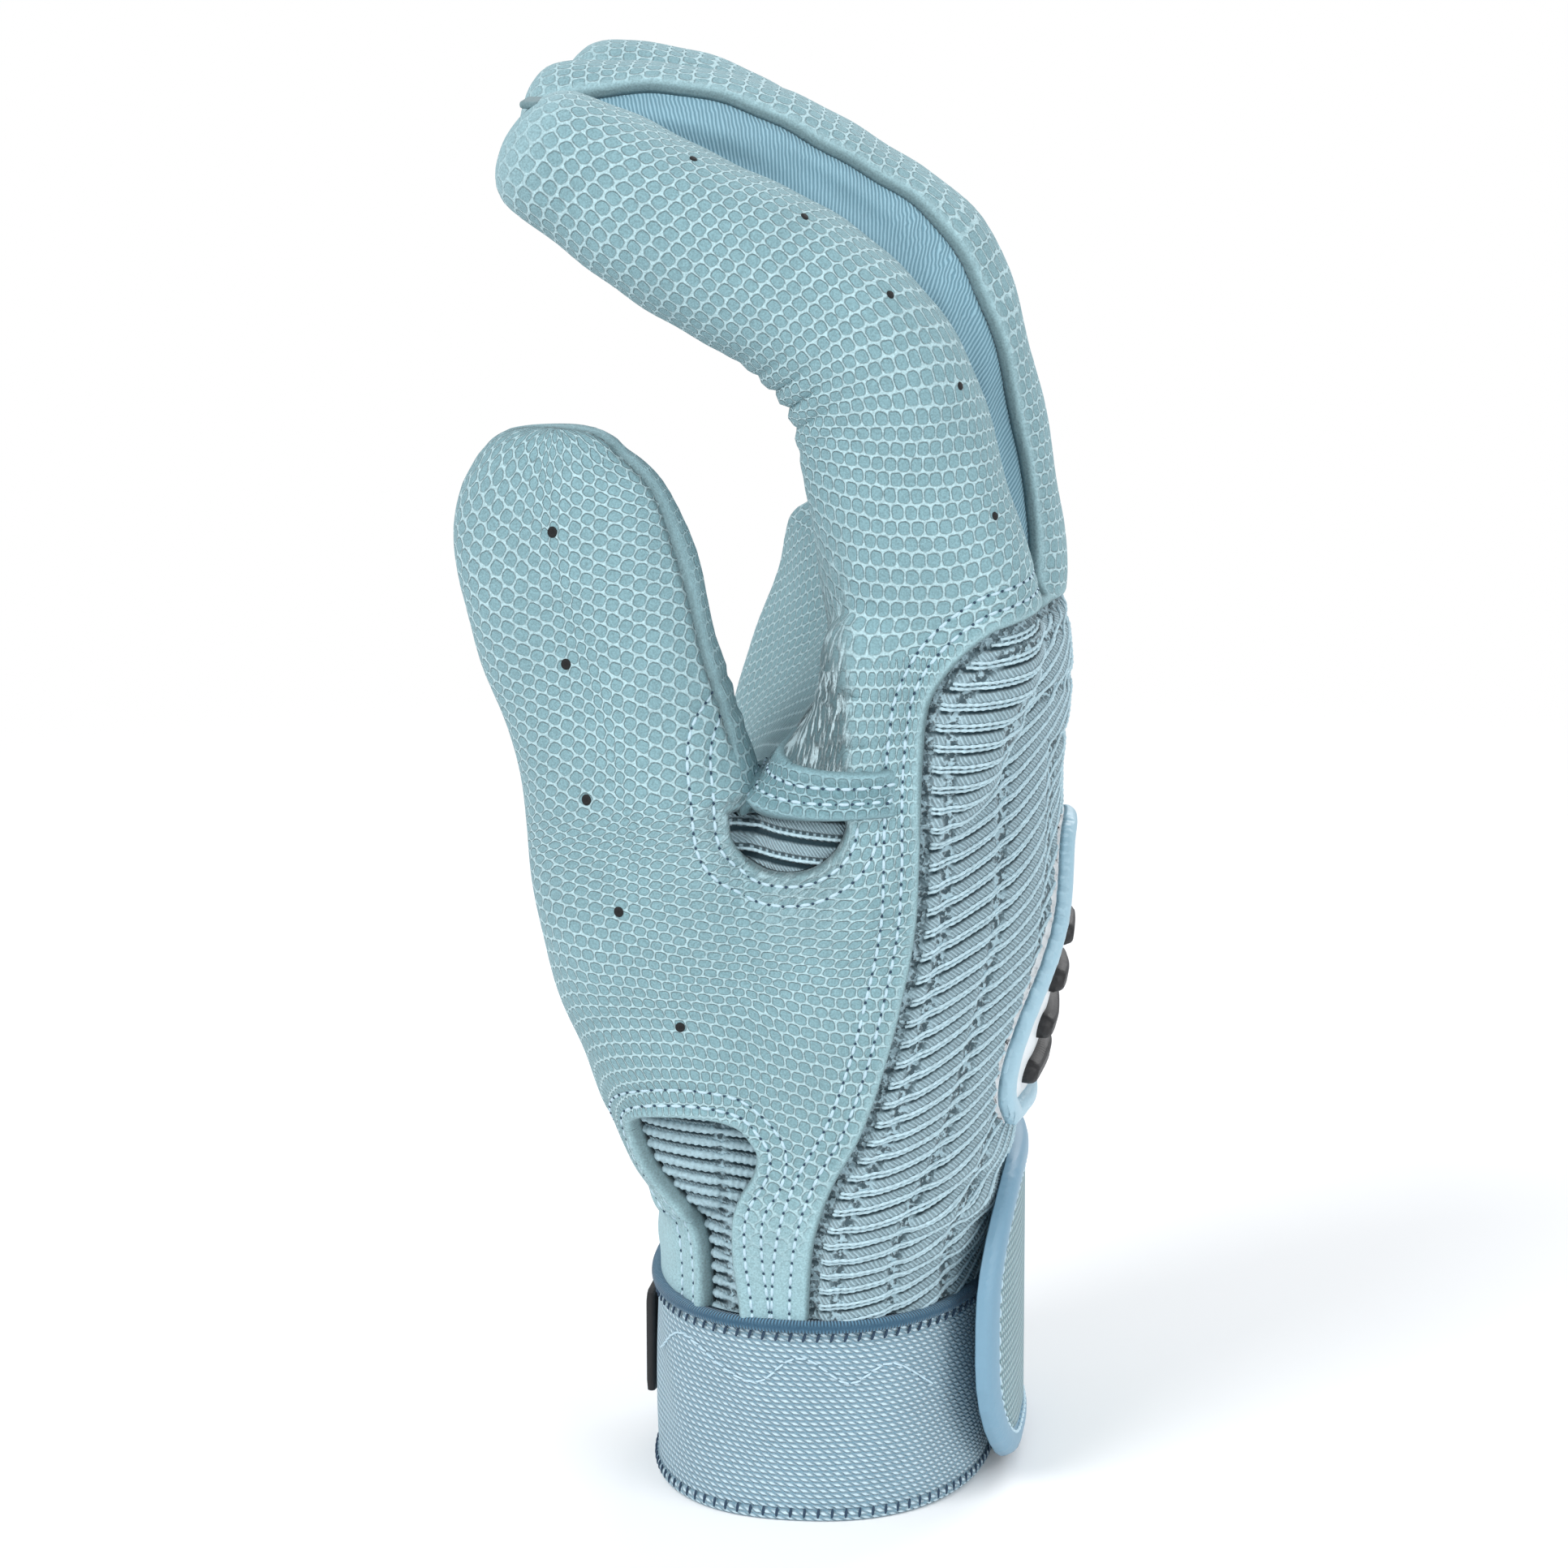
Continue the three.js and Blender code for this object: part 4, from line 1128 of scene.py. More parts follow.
def plain_paint(name, colour, roughness=0.6, grain=0.08, size=0.4, depth=0.05, **inputs):
    paint = Paint(name, Roughness=roughness, **inputs)
    fine = paint.noise(size, 2.0)
    paint.bump(fine, depth)
    return paint.colour(paint.scaled(colour, (fine - 0.5) * (2 * grain) + 1.0))


EDGE_ROUND = 0.9
EDGE_BARE = (0.3, 1.6)
LEATHER_LIFT = 0.08
LEATHER_DEEP = 0.9
STITCH_GROOVE = 0.3
KNIT_ROWS = (2.6, 5.0)
CROTCH_ROWS = (1.8, 4.4)
WRIST_ROWS = (1.9, 4.1)
LOW_EDGE = HAND_LOW - 1.6


def rolled(distance, thick=None, rounding=EDGE_ROUND):
    """Height of a cloth's face over what it lies on, at a distance from its rounded edge."""
    thick = size("leather_thickness") if thick is None else thick
    t = np.clip(distance / rounding, 0, 1)
    return thick * np.sqrt(np.clip(1 - (1 - t) ** 2, 0, 1))


def groove(distance, rows):
    return sum(-STITCH_GROOVE * np.exp(-(((distance - row) / 0.42) ** 2)) for row in rows)


def turned_seam(distance):
    """Depth of the fine groove where two pieces are sewn edge to edge from inside."""
    return 0.3 * np.exp(-((distance / 0.4) ** 2))


def with_levels(sheet, field, rows):
    for level in (0.15, 0.45, 0.9):
        sheet = sheet.cut(field, level)
    for row in rows:
        for level in (row - 0.4, row, row + 0.4):
            sheet = sheet.cut(field, level)
    return sheet


@functools.cache
def shared_skin():
    return measured(crumpled(hand_skin()))


def skin():
    """The skin, with a table of fields of its own for one piece."""
    return shared_skin().with_data()


@functools.cache
def leather_front():
    """The palm's leather in one sheet with the fronts of the thumb and of all the fingers.

    The sheet is its face. Its height and the way out from the skin are kept with it.
    """
    sheet = skin()
    for name in ("middle", "ring"):
        _, across, _, _ = near_line(sheet.verts, *finger_line(name))
        sheet.data[f"{name}_front"] = np.maximum(-across, -sheet.data[name])
    sheet = sheet.keep("low").keep("knit_edge").keep("thumb_seam")
    for name in ("crotch", "wrist"):
        sheet.data[f"{name}_edge"] = -sheet.data[name]
        sheet = sheet.keep(f"{name}_edge")
    for name, finger in FINGERS.items():
        for side in finger["gussets"]:
            sheet.data[f"{name}_side"] = -sheet.data[f"{name}_side_{side}"]
            sheet = sheet.keep(f"{name}_side")
        if f"{name}_front" in sheet.data:
            sheet = sheet.keep(f"{name}_front")
    for name, rows in (
        ("knit_edge", KNIT_ROWS), ("crotch_edge", ()), ("wrist_edge", WRIST_ROWS), ("thumb_seam", ()),
    ):
        sheet = with_levels(sheet, name, rows)
    sheet.data["fork_edge"] = -sheet.data["fork"]
    sheet = with_levels(sheet, "fork_edge", CROTCH_ROWS)
    d = sheet.data
    sides = [-d[f"{name}_side_{side}"] for name, finger in FINGERS.items() for side in finger["gussets"]]
    fronts = [d["middle_front"], d["ring_front"]]
    edge = np.minimum.reduce([d["knit_edge"], d["crotch_edge"], d["wrist_edge"], *sides, *fronts])
    sheet.data["edge"] = edge
    height = (
        LEATHER_LIFT + rolled(edge) + groove(d["knit_edge"], KNIT_ROWS) + groove(-d["fork"], CROTCH_ROWS)
        + groove(d["wrist_edge"], WRIST_ROWS) - turned_seam(d["thumb_side"])
    )
    # The thumb's seam line gets the same painted edge shade, so it shows as a dark groove.
    sheet.data["edge"] = np.minimum(edge, d["thumb_side"] * 0.6)
    height += 1.5 * np.exp(-(((d["wrist_edge"] - 0.9) / 1.1) ** 2)) * 0.5
    sheet.data["height"] = height
    x, y, z = sheet.verts.T
    tips = smooth_step(z, HAND_LOW + 2, HAND_LOW + 24) * smooth_step(edge, *EDGE_BARE)
    for name in FINGERS:
        mine = sheet.data[name] > 0
        tips *= np.where(mine, from_tip(sheet.verts, *finger_line(name)), 1)
    # Where the leather creases by the crotch: worn grey there, with painted fold shade and highlights.
    crease = dent(sheet.verts, (1, -32, 113), (9, 26, 16)) * smooth_step(x, 10, 8) * (y < -12)
    sheet.data["crease"] = np.where(d["thumb"] > -1, 0, np.clip(2.2 * crease, 0, 1))
    sheet.data["fade"] = tips
    sheet.data["back"] = sheet.normals()
    top = sheet.lifted(height)
    top.data["shown"] = top.normals()
    return top


def from_tip(points, line, halves):
    """0 at the very tip of a finger, 1 a little way down it."""
    run, _, _, _ = near_line(points, line, halves)
    return smooth_step(run_of(line)[-1] - run, -6, 3) * 0.7 + 0.3


def leather_pieces(paint):
    """The front leather cut where the thumb's and the fingers' folds begin."""
    rest = leather_front()
    nodes = {
        "index": ("index_leather", "index_fold"), "little": ("little_leather", "little_fold"),
        "middle": ("middle_palm", "middle_fold"), "ring": ("ring_palm", "ring_fold"),
        "thumb": ("thumb_front", "thumb_fold"),
    }
    for body in FINGERS:
        part, rest = rest.split(body)
        flow = little_flow if body == "little" else side_flow
        laid_flat(part, [(np.ones(len(part.verts)), flow)])
        fix(leather_part(f"{body}_front_skin", part, paint), body, "leather", *nodes[body])
    thumb, y = rest.data["thumb"], rest.verts[:, 1]
    below = 1 - smooth_step(thumb, -16, 2)
    laid_flat(rest, [
        (below * (1 - smooth_step(y, -4, 10)), side_flow), (smooth_step(thumb, -30, -6), thumb_flow),
        (below * smooth_step(y, -14, 4), side_flow),
    ])
    part, rest = rest.split("thumb")
    fix(leather_part("thumb_front_skin", part, paint), "thumb", "leather", *nodes["thumb"])
    part, rest = rest.split("web")
    fix(leather_part("crotch_web_skin", part, paint), "hand", "leather", "crotch_web")
    fix(leather_part("palm_skin", rest, paint), "hand", "leather", "palm_panel")


def side_flow(sheet):
    return unwrapped(sheet, (1, 0, 0), (0, 0, 1), (0, -1, 0))


def round_flow(sheet, line, wide, deep, facing):
    """A stall laid flat: the way round it from the middle of one side, and the run along it."""
    run, across, back, half = near_line(sheet.verts, *line)
    angles = np.linspace(0, math.pi, 80)
    lengths = run_of(np.stack([wide * power(np.sin(angles)), deep * power(np.cos(angles))], 1))
    angle = np.arctan2(np.abs(across) / half[:, 0], facing * back / half[:, 1])
    return np.stack([np.sign(across) * np.interp(angle, angles, lengths), run], 1)


def thumb_flow(sheet, facing=-1):
    return round_flow(sheet, thumb_line(), *THUMB_HALVES, facing)


def little_flow(sheet):
    finger = FINGERS["little"]
    return round_flow(sheet, finger_line("little"), finger["depth"] / 2, finger["width"] / 2, 1)


def laid_flat(sheet, regions):
    """Gives a sheet its flat layout, in overlapping regions where one would stretch too much."""
    total, sum_of = np.zeros((len(sheet.verts), 2)), np.zeros(len(sheet.verts))
    for weight, layout in regions:
        faces = sheet.faces[weight[sheet.faces].min(1) > 0]
        used, index = np.unique(faces, return_inverse=True)
        flat = layout(Sheet(sheet.verts[used], index.reshape(-1, 3)))
        shared = sum_of[used] > 0
        if shared.any():
            flat = fitted(flat, shared, total[used] / np.maximum(sum_of[used], 1e-9)[:, None])
        total[used] += flat * weight[used][:, None]
        sum_of[used] += weight[used]
    sheet.data["flow"] = total / np.maximum(sum_of, 1e-9)[:, None]


def leather_part(name, part, paint):
    d = part.data
    values = {key: d[key] for key in ("fade", "edge", "crease")}
    low = -(d["height"] + LEATHER_DEEP)
    return plate(name, part, 0.0, low, paint, d["flow"], values, d["shown"], d["back"])


def backs(paint):
    """The backs of the middle and ring fingers, and the back of the thumb."""
    for name in ("middle", "ring", "thumb"):
        base = skin().keep(name)
        if name == "thumb":
            line = thumb_line()
            base.data["edge"] = -base.data["thumb_seam"]
            base = with_levels(base.keep("edge"), "edge", ())
            flat = thumb_flow(base, 1)
            seam = base.data["thumb_side"]
            # Painted shade along the thumb's seam, as on the front leather's edges.
            edge = seam * 0.6
            high = size("leather_thickness") + LEATHER_LIFT - turned_seam(seam)
            shown = smooth_step(seam, *THUMB_ALLOWANCE)
        else:
            line = finger_line(name)
            _, across, _, _ = near_line(base.verts, *line)
            base.data["edge"] = np.minimum(across, base.data[name])
            base = base.keep("edge")
            for side in FINGERS[name]["gussets"]:
                base.data["side"] = -base.data[f"{name}_side_{side}"]
                base = base.keep("side")
                base.data["edge"] = np.minimum(base.data["edge"], base.data["side"])
            base = with_levels(base, "edge", ())
            flat = unwrapped(base, (0, 1, 0), (0, 0, 1), (1, 0, 0))
            edge = base.data["edge"]
            high = LEATHER_LIFT + rolled(edge)
            shown = smooth_step(edge, *EDGE_BARE)
        values = {"fade": from_tip(base.verts, *line) * shown, "edge": edge, "crease": edge * 0}
        piece = plate(f"{name}_back_skin", base, high, -LEATHER_DEEP, paint, flat, values)
        fix(piece, name, "leather", f"{name}_back")


def gussets(paint):
    for name, finger in FINGERS.items():
        for side in finger["gussets"]:
            base = skin().keep(f"{name}_side_{side}", -1.6)
            flat = unwrapped(base, (side, 0, 0), (0, 0, 1), (0, side, 0))
            under = base.data[f"{name}_side_{side}"]
            run, across, _, _ = near_line(base.verts, *finger_line(name))
            folds = 0.4 * np.sin(across * 0.75 + run / 9) + 0.2 * np.sin(across * 1.6 - run / 6)
            high = -0.7 + (0.35 + folds) * smooth_step(under, -0.5, 1.5)
            if len(finger["gussets"]) == 1:
                node = f"{name}_gusset"
            else:
                node = f"{name}_gusset_near" if side < 0 else f"{name}_gusset_far"
            piece = plate(f"{name}_stretch_{'far' if side > 0 else 'near'}", base, high, -1.1, paint, flat)
            fix(piece, name, "stretch", node)


RIB_SLOPE = 0.42
LADDER_PITCH = 7.6
CORD_PLACES = (0.16, 0.38)
CORD_STEP = 0.36
WINDOW_STEP = 0.25


def cords(top, places, shortest, pitch, sides, radius):
    """Cords along the ribs of a knit, at places from one rib to the next."""
    tubes = []
    for rib in range(math.floor(top.data["row"].min()), math.ceil(top.data["row"].max()) + 1):
        for place in places:
            for points, normals in top.lines("row", rib + place):
                if len(points) > shortest:
                    points, _, out = spaced(points, normals, pitch)
                    run = np.arange(len(points)) * pitch
                    tubes.append(tube_mesh(points, out, radius(points, run, rib), sides))
    return joined(tubes)


@functools.cache
def knit_sheet():
    """The knit back of the hand, finely divided, with its flat layout."""
    base = skin()
    base.data["inside"] = -base.data["knit_edge"]
    base = base.keep("low").keep("inside", -2.4).divided()
    base.data["flow"] = unwrapped(base, (0.8, 0.6, 0), (0, 0, 1), (0.6, -0.8, 0))
    return base


def knit_back(paint, cord_paint):
    base = knit_sheet()
    u, v = base.data["flow"].T
    inside = base.data["inside"]
    row = (v - u * RIB_SLOPE) / size("rib_pitch")
    ladder_place = (inside - 3.6) / LADDER_PITCH
    from_ladder = np.abs(ladder_place - np.round(ladder_place)) * LADDER_PITCH
    ladder = np.where(ladder_place > -0.4, 1 - smooth_step(from_ladder, 0.4, 1.3), 0)
    # Near the leather's edge the knit takes the dark ladder colour too: painted shade beside the overhanging
    # edge.
    ladder = np.maximum(ladder, 0.75 - 0.75 * smooth_step(inside, 1.0, 2.0))
    inner = row - np.floor(row)
    relief = 0.75 * np.sqrt(np.clip(np.sin(math.pi * inner), 0, 1)) - 0.15 - 0.4 * ladder
    high = -0.55 + 0.95 * smooth_step(inside, 0.2, 3) + relief * smooth_step(inside, -0.5, 1)
    base.data["ladder"] = ladder
    base.data["row"] = row
    piece = plate("knit_back_cloth", base, high, -1.2, paint, base.data["flow"], {"ladder": ladder})
    fix(piece, "hand", "knit", "back_panel")

    def radius(_, run, rib):
        return size("cord_radius") * (1 + 0.26 * np.sin(run * 2 * math.pi / 1.08 + rib))

    tubes = cords(base.lifted(high).keep("inside", 1.3), CORD_PLACES, 8, CORD_STEP, 6, radius)
    fix(mesh_piece("knit_back_cords", *tubes, cord_paint), "hand", "knit")


CROTCH_PITCH = 3.4
CROTCH_OPENING = {"field": "crotch", "slope": -0.1, "place": 0.24, "radius": 0.24, "ladder": -40}
WRIST_OPENING = {"field": "wrist", "slope": -0.12, "place": 0.5, "radius": 0.6, "ladder": -9.6}
WINDOW_SINK = 0.9


def window(opening):
    """Ribbed cloth set behind a hole in the leather, with twisted cords across it."""
    field = opening["field"]
    name = f"{field}_window"
    pitch = size("wrist_pitch") if field == "wrist" else CROTCH_PITCH
    base = skin().keep("low").keep(field, -1.8).divided()
    flat = base.verts[:, [0, 2]]
    row = (flat[:, 1] - flat[:, 0] * opening["slope"]) / pitch
    base.data["row"] = row
    relief = 0.45 * np.sqrt(np.abs(np.sin(math.pi * row))) - 0.3
    high = relief * smooth_step(base.data[field], -0.3, 0.6) - WINDOW_SINK
    # A dark ladder column across the window: painted shade in its gap.
    ladder = np.exp(-(((base.verts[:, 0] - opening["ladder"]) / 0.8) ** 2))
    paint = knit(f"{name}_knit", pitch, opening["slope"])
    piece = plate(f"{name}_cloth", base, high, -WINDOW_SINK - 0.9, paint, flat, {"ladder": ladder})
    fix(piece, "hand", "knit", name)

    def radius(points, run, rib):
        thin = 1 - 0.5 * np.exp(-(((points[:, 0] - opening["ladder"]) / 0.7) ** 2))
        return opening["radius"] * thin * (1 + 0.16 * np.sin(run * 2 * math.pi / 0.95 + rib * 2))

    tubes = cords(base.lifted(high).keep(field, -0.2), (opening["place"],), 5, WINDOW_STEP, 7, radius)
    paint = cord("wrist_cord" if field == "wrist" else "cord_light")
    fix(mesh_piece(f"{name}_cords", *tubes, paint), "hand", "knit")


BAND_ROWS = (2.2, 4.3)


@functools.cache
def band_face():
    """The skin under the crotch strap, and the height of the strap's face over it."""
    base = skin()
    x, y, z = base.verts.T
    left, _, low, high = BAND_BOX
    box = [(left + 2.2, low - 0.9), (8, low - 0.3), (15, low), (15, high + 0.2), (left + 3.4, high + 0.4)]
    field = polygon_distance(np.stack([x, z], 1), box)
    base.data["band"] = np.minimum(field, SIDE_DEEP - 2 - y)
    base.data["drop"] = high - z + 0.05 * (x - 8)
    base = with_levels(base.keep("band"), "band", ())
    edge = base.data["band"]
    x, y, z = base.verts.T
    roll = 0.75 * np.exp(-(((z - low - 0.2) / 1.3) ** 2)) * smooth_step(x, 14, 6)
    end = smooth_step(x, 15, 12.4)
    face = 0.25 + rolled(edge, 1.1, 1.2) + (roll + 0.35) * smooth_step(edge, 0, 0.9)
    end = end * smooth_step(x, left + 2.2, left + 4.6)
    face = 0.9 + (face - 0.9) * end + groove(base.data["drop"], BAND_ROWS)
    return base, face


def crotch_band(paint):
    """The stitched strap across the fork of thumb and index finger."""
    base, face = band_face()
    edge = base.data["band"]
    values = {"fade": smooth_step(edge, 0.4, 1.4), "edge": edge, "crease": edge * 0}
    piece = plate("crotch_band_skin", base, face, -0.2, paint, side_flow(base), values)
    fix(piece, "hand", "leather", "crotch_strap")


def oval_grid(angles, rows, point):
    """A sheet over a grid of angles and heights."""
    closed = abs(abs(angles[-1] - angles[0]) - 360) < 1e-6
    places = angles[:-1] if closed else angles
    grid = np.array([[point(angle, row) for angle in places] for row in rows])
    return Sheet(grid.reshape(-1, 3), grid_faces(len(rows), len(places), closed))


def cuff_point(angle, height, out=0.0):
    a = math.radians(angle)
    return (
        (CUFF_DEPTH / 2 + out) * float(power(math.cos(a))),
        (CUFF_WIDTH / 2 + out) * float(power(math.sin(a))), height,
    )


def arc_lengths(angles, out=0.0):
    return run_of(np.array([cuff_point(angle, 0, out) for angle in angles]))


def grid_flow(run, rows):
    """The flat layout of a grid, from the run along it and its heights."""
    return np.stack([np.tile(run, len(rows)), np.repeat(rows, len(run))], 1)


def cuff_line(places, out):
    """Points round the cuff at angles and heights, and the way out from it there."""
    points = np.array([cuff_point(angle, height, out) for angle, height in places])
    return points, points * [1, 1, 0] / np.linalg.norm(points[:, :2], axis=1)[:, None]


CUFF_TOP = 27.0
ZIGZAG = [(-150, 19), (-132, 24), (-100, 19.4), (-89, 23.7), (-75, 19.7), (-61, 22.3), (-43, 17.5)]
CUFF_WALL = 2.2


def cuff(paint, binding_paint, light, dark):
    """The elastic cuff with its hem, its binding and their stitches."""
    angles = np.linspace(0, 360, 361)
    rows = np.linspace(1.4, CUFF_TOP, 46)
    run = arc_lengths(angles)[:-1]
    flat = grid_flow(run, rows)
    swell = 0.3 * np.sin(flat[:, 0] * 2 * math.pi / 17 + flat[:, 1] / 7) * np.sin(flat[:, 1] * math.pi / 26)
    piece = plate("cuff_cloth", oval_grid(angles, rows, cuff_point), swell, -CUFF_WALL, paint, flat)
    fix(piece, "hand", "elastic", "cuff_band")
    for node, low, high, out, wall, cloth in (
        ("cuff_hem", 0.1, 1.5, 0.35, CUFF_WALL, paint), ("cuff_binding", 27.0, 28.7, 0.8, 1.2, binding_paint),
    ):
        rows = np.linspace(low, high, 9)
        sheet = oval_grid(angles, rows, cuff_point)
        share = (sheet.verts[:, 2] - low) / (high - low)
        roll = out * np.sqrt(np.clip(1 - (2 * share - 1) ** 2, 0, 1)) + 0.12
        piece = plate(f"{node}_cloth", sheet, roll, -wall, cloth, grid_flow(run, rows))
        fix(piece, "hand", "elastic", node)
    ticks = [
        stitches(*cuff_line([(angle, height) for angle in angles], out), 0.2, 1.9, 1.5, turn)
        for height, out, turn in ((1.2, 0.45, 1.45), (26.5, 0.35, 1.25))
    ]
    fix(mesh_piece("cuff_edge_stitches", *joined(ticks), dark), "hand", "elastic")
    thread = stitches(*cuff_line(spline(ZIGZAG, np.linspace(0, 1, 90)), 0.3), 0.16, 1.7, 1.5)
    fix(mesh_piece("cuff_thread", *thread, light), "hand", "elastic")


STRAP_STAND = 2.4
STRAP_CORNER = 19.0
STRAP_FLARE = 3.0
STRAP_THREAD = 0.28
PAD_CORNER = 2.0

# First and last angle, low and high
STRAP_SPAN = (-36.0, 72.0, 1.5, 45.5)
PAD_SPAN = (-8, 42, 5.0, 24.0)


def strap_point(angle, height, out=STRAP_STAND):
    flare = STRAP_FLARE * max((18 - angle) / 54, 0) ** 2
    return cuff_point(angle, height, out + flare)


def strap_sheet(start, end, low, high, corner, out, step=0.7):
    """A bent plate on the cuff's back, with the distance from its outline and its flat layout."""
    run = arc_lengths([start, end], out)[1]
    angles = np.linspace(start, end, max(int(1.2 * run / step), 8))
    rows = np.arange(low, high + step / 2, step)
    sheet = oval_grid(angles, rows, lambda angle, row: strap_point(angle, row, out))
    lengths = arc_lengths(angles, out)
    flat = grid_flow(lengths, rows)
    wide, tall = lengths[-1], high - low
    turn = np.linspace(0, math.pi / 2, 9)
    outline = [(corner - corner * math.sin(a), corner - corner * math.cos(a)) for a in turn[::-1]]
    outline += [(wide, 0), (wide, tall)]
    outline += [(corner - corner * math.sin(a), tall - corner + corner * math.cos(a)) for a in turn]
    sheet.data["edge"] = polygon_distance(flat - [0, low], outline)
    sheet.data["flow"] = flat
    return sheet.keep("edge")


def strap(paint, inset_paint, pad_paint, light):
    """The closure strap with its inset, its stitches and its hook pad, and the loop pad under it."""
    sheet = strap_sheet(*STRAP_SPAN, STRAP_CORNER, STRAP_STAND)
    sheet = with_levels(sheet, "edge", (3.6,))
    edge, flat = sheet.data["edge"], sheet.data["flow"]
    tie = smooth_step(flat[:, 0], 0, 6)
    high = 0.1 + rolled(edge, 2.1, 2.2) - 0.9 * smooth_step(edge, 2.9, 4.0) * tie
    piece = plate("strap_cloth_pad", sheet, high, -0.1, paint, flat)
    fix(piece, "strap", "strap_cloth", "closure_strap")
    inset = sheet.keep("edge", 3.5)
    deep = 1.25 + 0.5 * smooth_step(inset.data["edge"], 3.5, 4.6)
    piece = plate("strap_inset_cloth", inset, deep, 0.4, inset_paint, inset.data["flow"])
    fix(piece, "strap", "strap_cloth", "strap_inset")
    rows = [stitches(*chain, STRAP_THREAD) for chain in sheet.lifted(high + 0.05).lines("edge", 3.4)]
    fix(mesh_piece("strap_thread", *joined(rows), light), "strap", "strap_cloth")
    for node, out, body in (("hook_pad", 1.45, "strap"), ("loop_pad", 0.35, "hand")):
        pad = strap_sheet(*PAD_SPAN, PAD_CORNER, out, 0.8)
        piece = plate(f"{node}_cloth", pad, 0.7, 0.0, pad_paint, pad.data["flow"])
        fix(piece, body, "hook_and_loop", node)


def cad_box(node):
    """The corners of a solid of the part, in millimetres round the cuff's middle."""
    return [np.array(corner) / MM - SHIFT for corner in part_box(node)]


def anchor(paint, light):
    """The stitched end that holds the strap to the cuff's little-finger side."""
    low, high = cad_box("strap_anchor")
    angles = np.linspace(64, 92, 34)
    rows = np.linspace(low[2] + 0.2, high[2] - 0.2, 46)
    sheet = oval_grid(angles, rows, lambda angle, row: cuff_point(angle, row, 0.4))
    run = arc_lengths(angles, 0.4)
    flat = grid_flow(run, rows)
    u, v = flat.T
    edge = np.minimum.reduce([u, run[-1] - u, v - rows[0], rows[-1] - v])
    sheet.data["edge"] = edge
    piece = plate("strap_anchor_cloth", sheet, 0.1 + rolled(edge, 1.4, 1.3), -0.05, paint, flat)
    fix(piece, "hand", "strap_cloth", "strap_anchor")
    rows = [
        stitches(points + normals * 1.5, normals, STRAP_THREAD)
        for level in (1.9, 4.2) for points, normals in sheet.lines("edge", level)
    ]
    fix(mesh_piece("anchor_thread", *joined(rows), light), "hand", "strap_cloth")


PATCH_WIDTH = 38.0
PATCH_HEIGHT = 42.0
PATCH_LOW = 52.0
PATCH_MIDDLE = -1.0
PATCH_SHAPE = [
    (-0.32, 0), (0.32, 0), (0.48, 0.12), (0.5, 0.4), (0.36, 0.72), (0.16, 0.97), (-0.16, 0.97), (-0.36, 0.72),
    (-0.5, 0.4), (-0.48, 0.12),
]
RIM_WIDTH = 3.4
BAR_WIDTH = 20.0
BAR_HEIGHT = 3.6
BAR_PITCH = 6.2
BAR_RISE = 7.0
BAR_TAPER = 2.6
BAR_COUNT = 4


def patch(base_paint, rim_paint, bar_paint):
    """The moulded patch on the back of the hand: base, round rim and plain bars."""
    base = skin()
    shape = [(PATCH_MIDDLE + a * PATCH_WIDTH, PATCH_LOW + b * PATCH_HEIGHT) for a, b in PATCH_SHAPE]
    outline = rounded(shape)
    flat = base.verts[:, 1:]
    facing = base.verts[:, 0] + 2
    base.data["patch"] = np.minimum(polygon_distance(flat, outline), facing)
    base = base.keep("patch").relaxed(12)
    base = with_levels(base, "patch", ()).divided()
    edge = base.data["patch"]
    high = 1.3 + 0.5 * smooth_step(edge, 0, 0.7)
    piece = plate("patch_base_shell", base, high, -0.2, base_paint, base.verts[:, 1:])
    fix(piece, "hand", "patch_white", "patch_base")
    rim = base.keep("patch", 0.1)
    rim.data["inner"] = RIM_WIDTH - rim.data["patch"]
    rim = rim.keep("inner")
    t = np.clip(np.abs(rim.data["patch"] - RIM_WIDTH / 2) / (RIM_WIDTH / 2), 0, 1)
    high = 1.5 + 1.7 * np.sqrt(np.clip(1 - t**2, 0, 1))
    piece = plate("patch_rim_tube", rim, high, 1.2, rim_paint, rim.verts[:, 1:])
    fix(piece, "hand", "patch_rim", "patch_rim")
    for count in range(BAR_COUNT):
        middle = PATCH_LOW + BAR_RISE + count * BAR_PITCH
        half = (BAR_WIDTH - count * BAR_TAPER) / 2
        y, z = base.verts[:, 1] - PATCH_MIDDLE, base.verts[:, 2] - middle
        reach = np.hypot(np.maximum(np.abs(y) - half + BAR_HEIGHT / 2, 0), z)
        bar = with_levels(base.with_data(bar=BAR_HEIGHT / 2 - reach).keep("bar"), "bar", ())
        high = 1.7 + rolled(bar.data["bar"], 2.0, 1.1)
        piece = plate(f"patch_bar_{count + 1}", bar, high, 1.4, bar_paint, bar.verts[:, 1:])
        fix(piece, "hand", "black_rubber", f"patch_rib_{count + 1}")


def box_mesh(name, low, high, rounding, material):
    """A box with rounded edges, from its corners in millimetres."""
    steps = 9
    verts, faces = [], []
    for axis in range(3):
        for end in (0, 1):
            start = len(verts)
            a, b = (axis + 1) % 3, (axis + 2) % 3
            for i in range(steps):
                for j in range(steps):
                    p = np.zeros(3)
                    p[axis] = end
                    p[a], p[b] = i / (steps - 1), j / (steps - 1)
                    verts.append(low + p * (high - low))
            for i in range(steps - 1):
                for j in range(steps - 1):
                    c = start + i * steps + j
                    quad = (c, c + steps, c + steps + 1, c + 1)
                    faces.append(quad if end else quad[::-1])
    verts = np.array(verts)
    core = np.clip(verts, low + rounding, high - rounding)
    rel = verts - core
    length = np.linalg.norm(rel, axis=1)
    share = rounding / np.maximum(length, 1e-9)
    verts = np.where((length > 1e-9)[:, None], core + rel * share[:, None], verts)
    tri = []
    for a, b, c, d in faces:
        tri += [(a, b, c), (a, c, d)]
    return mesh_piece(name, verts, tri, material, verts[:, 1:])


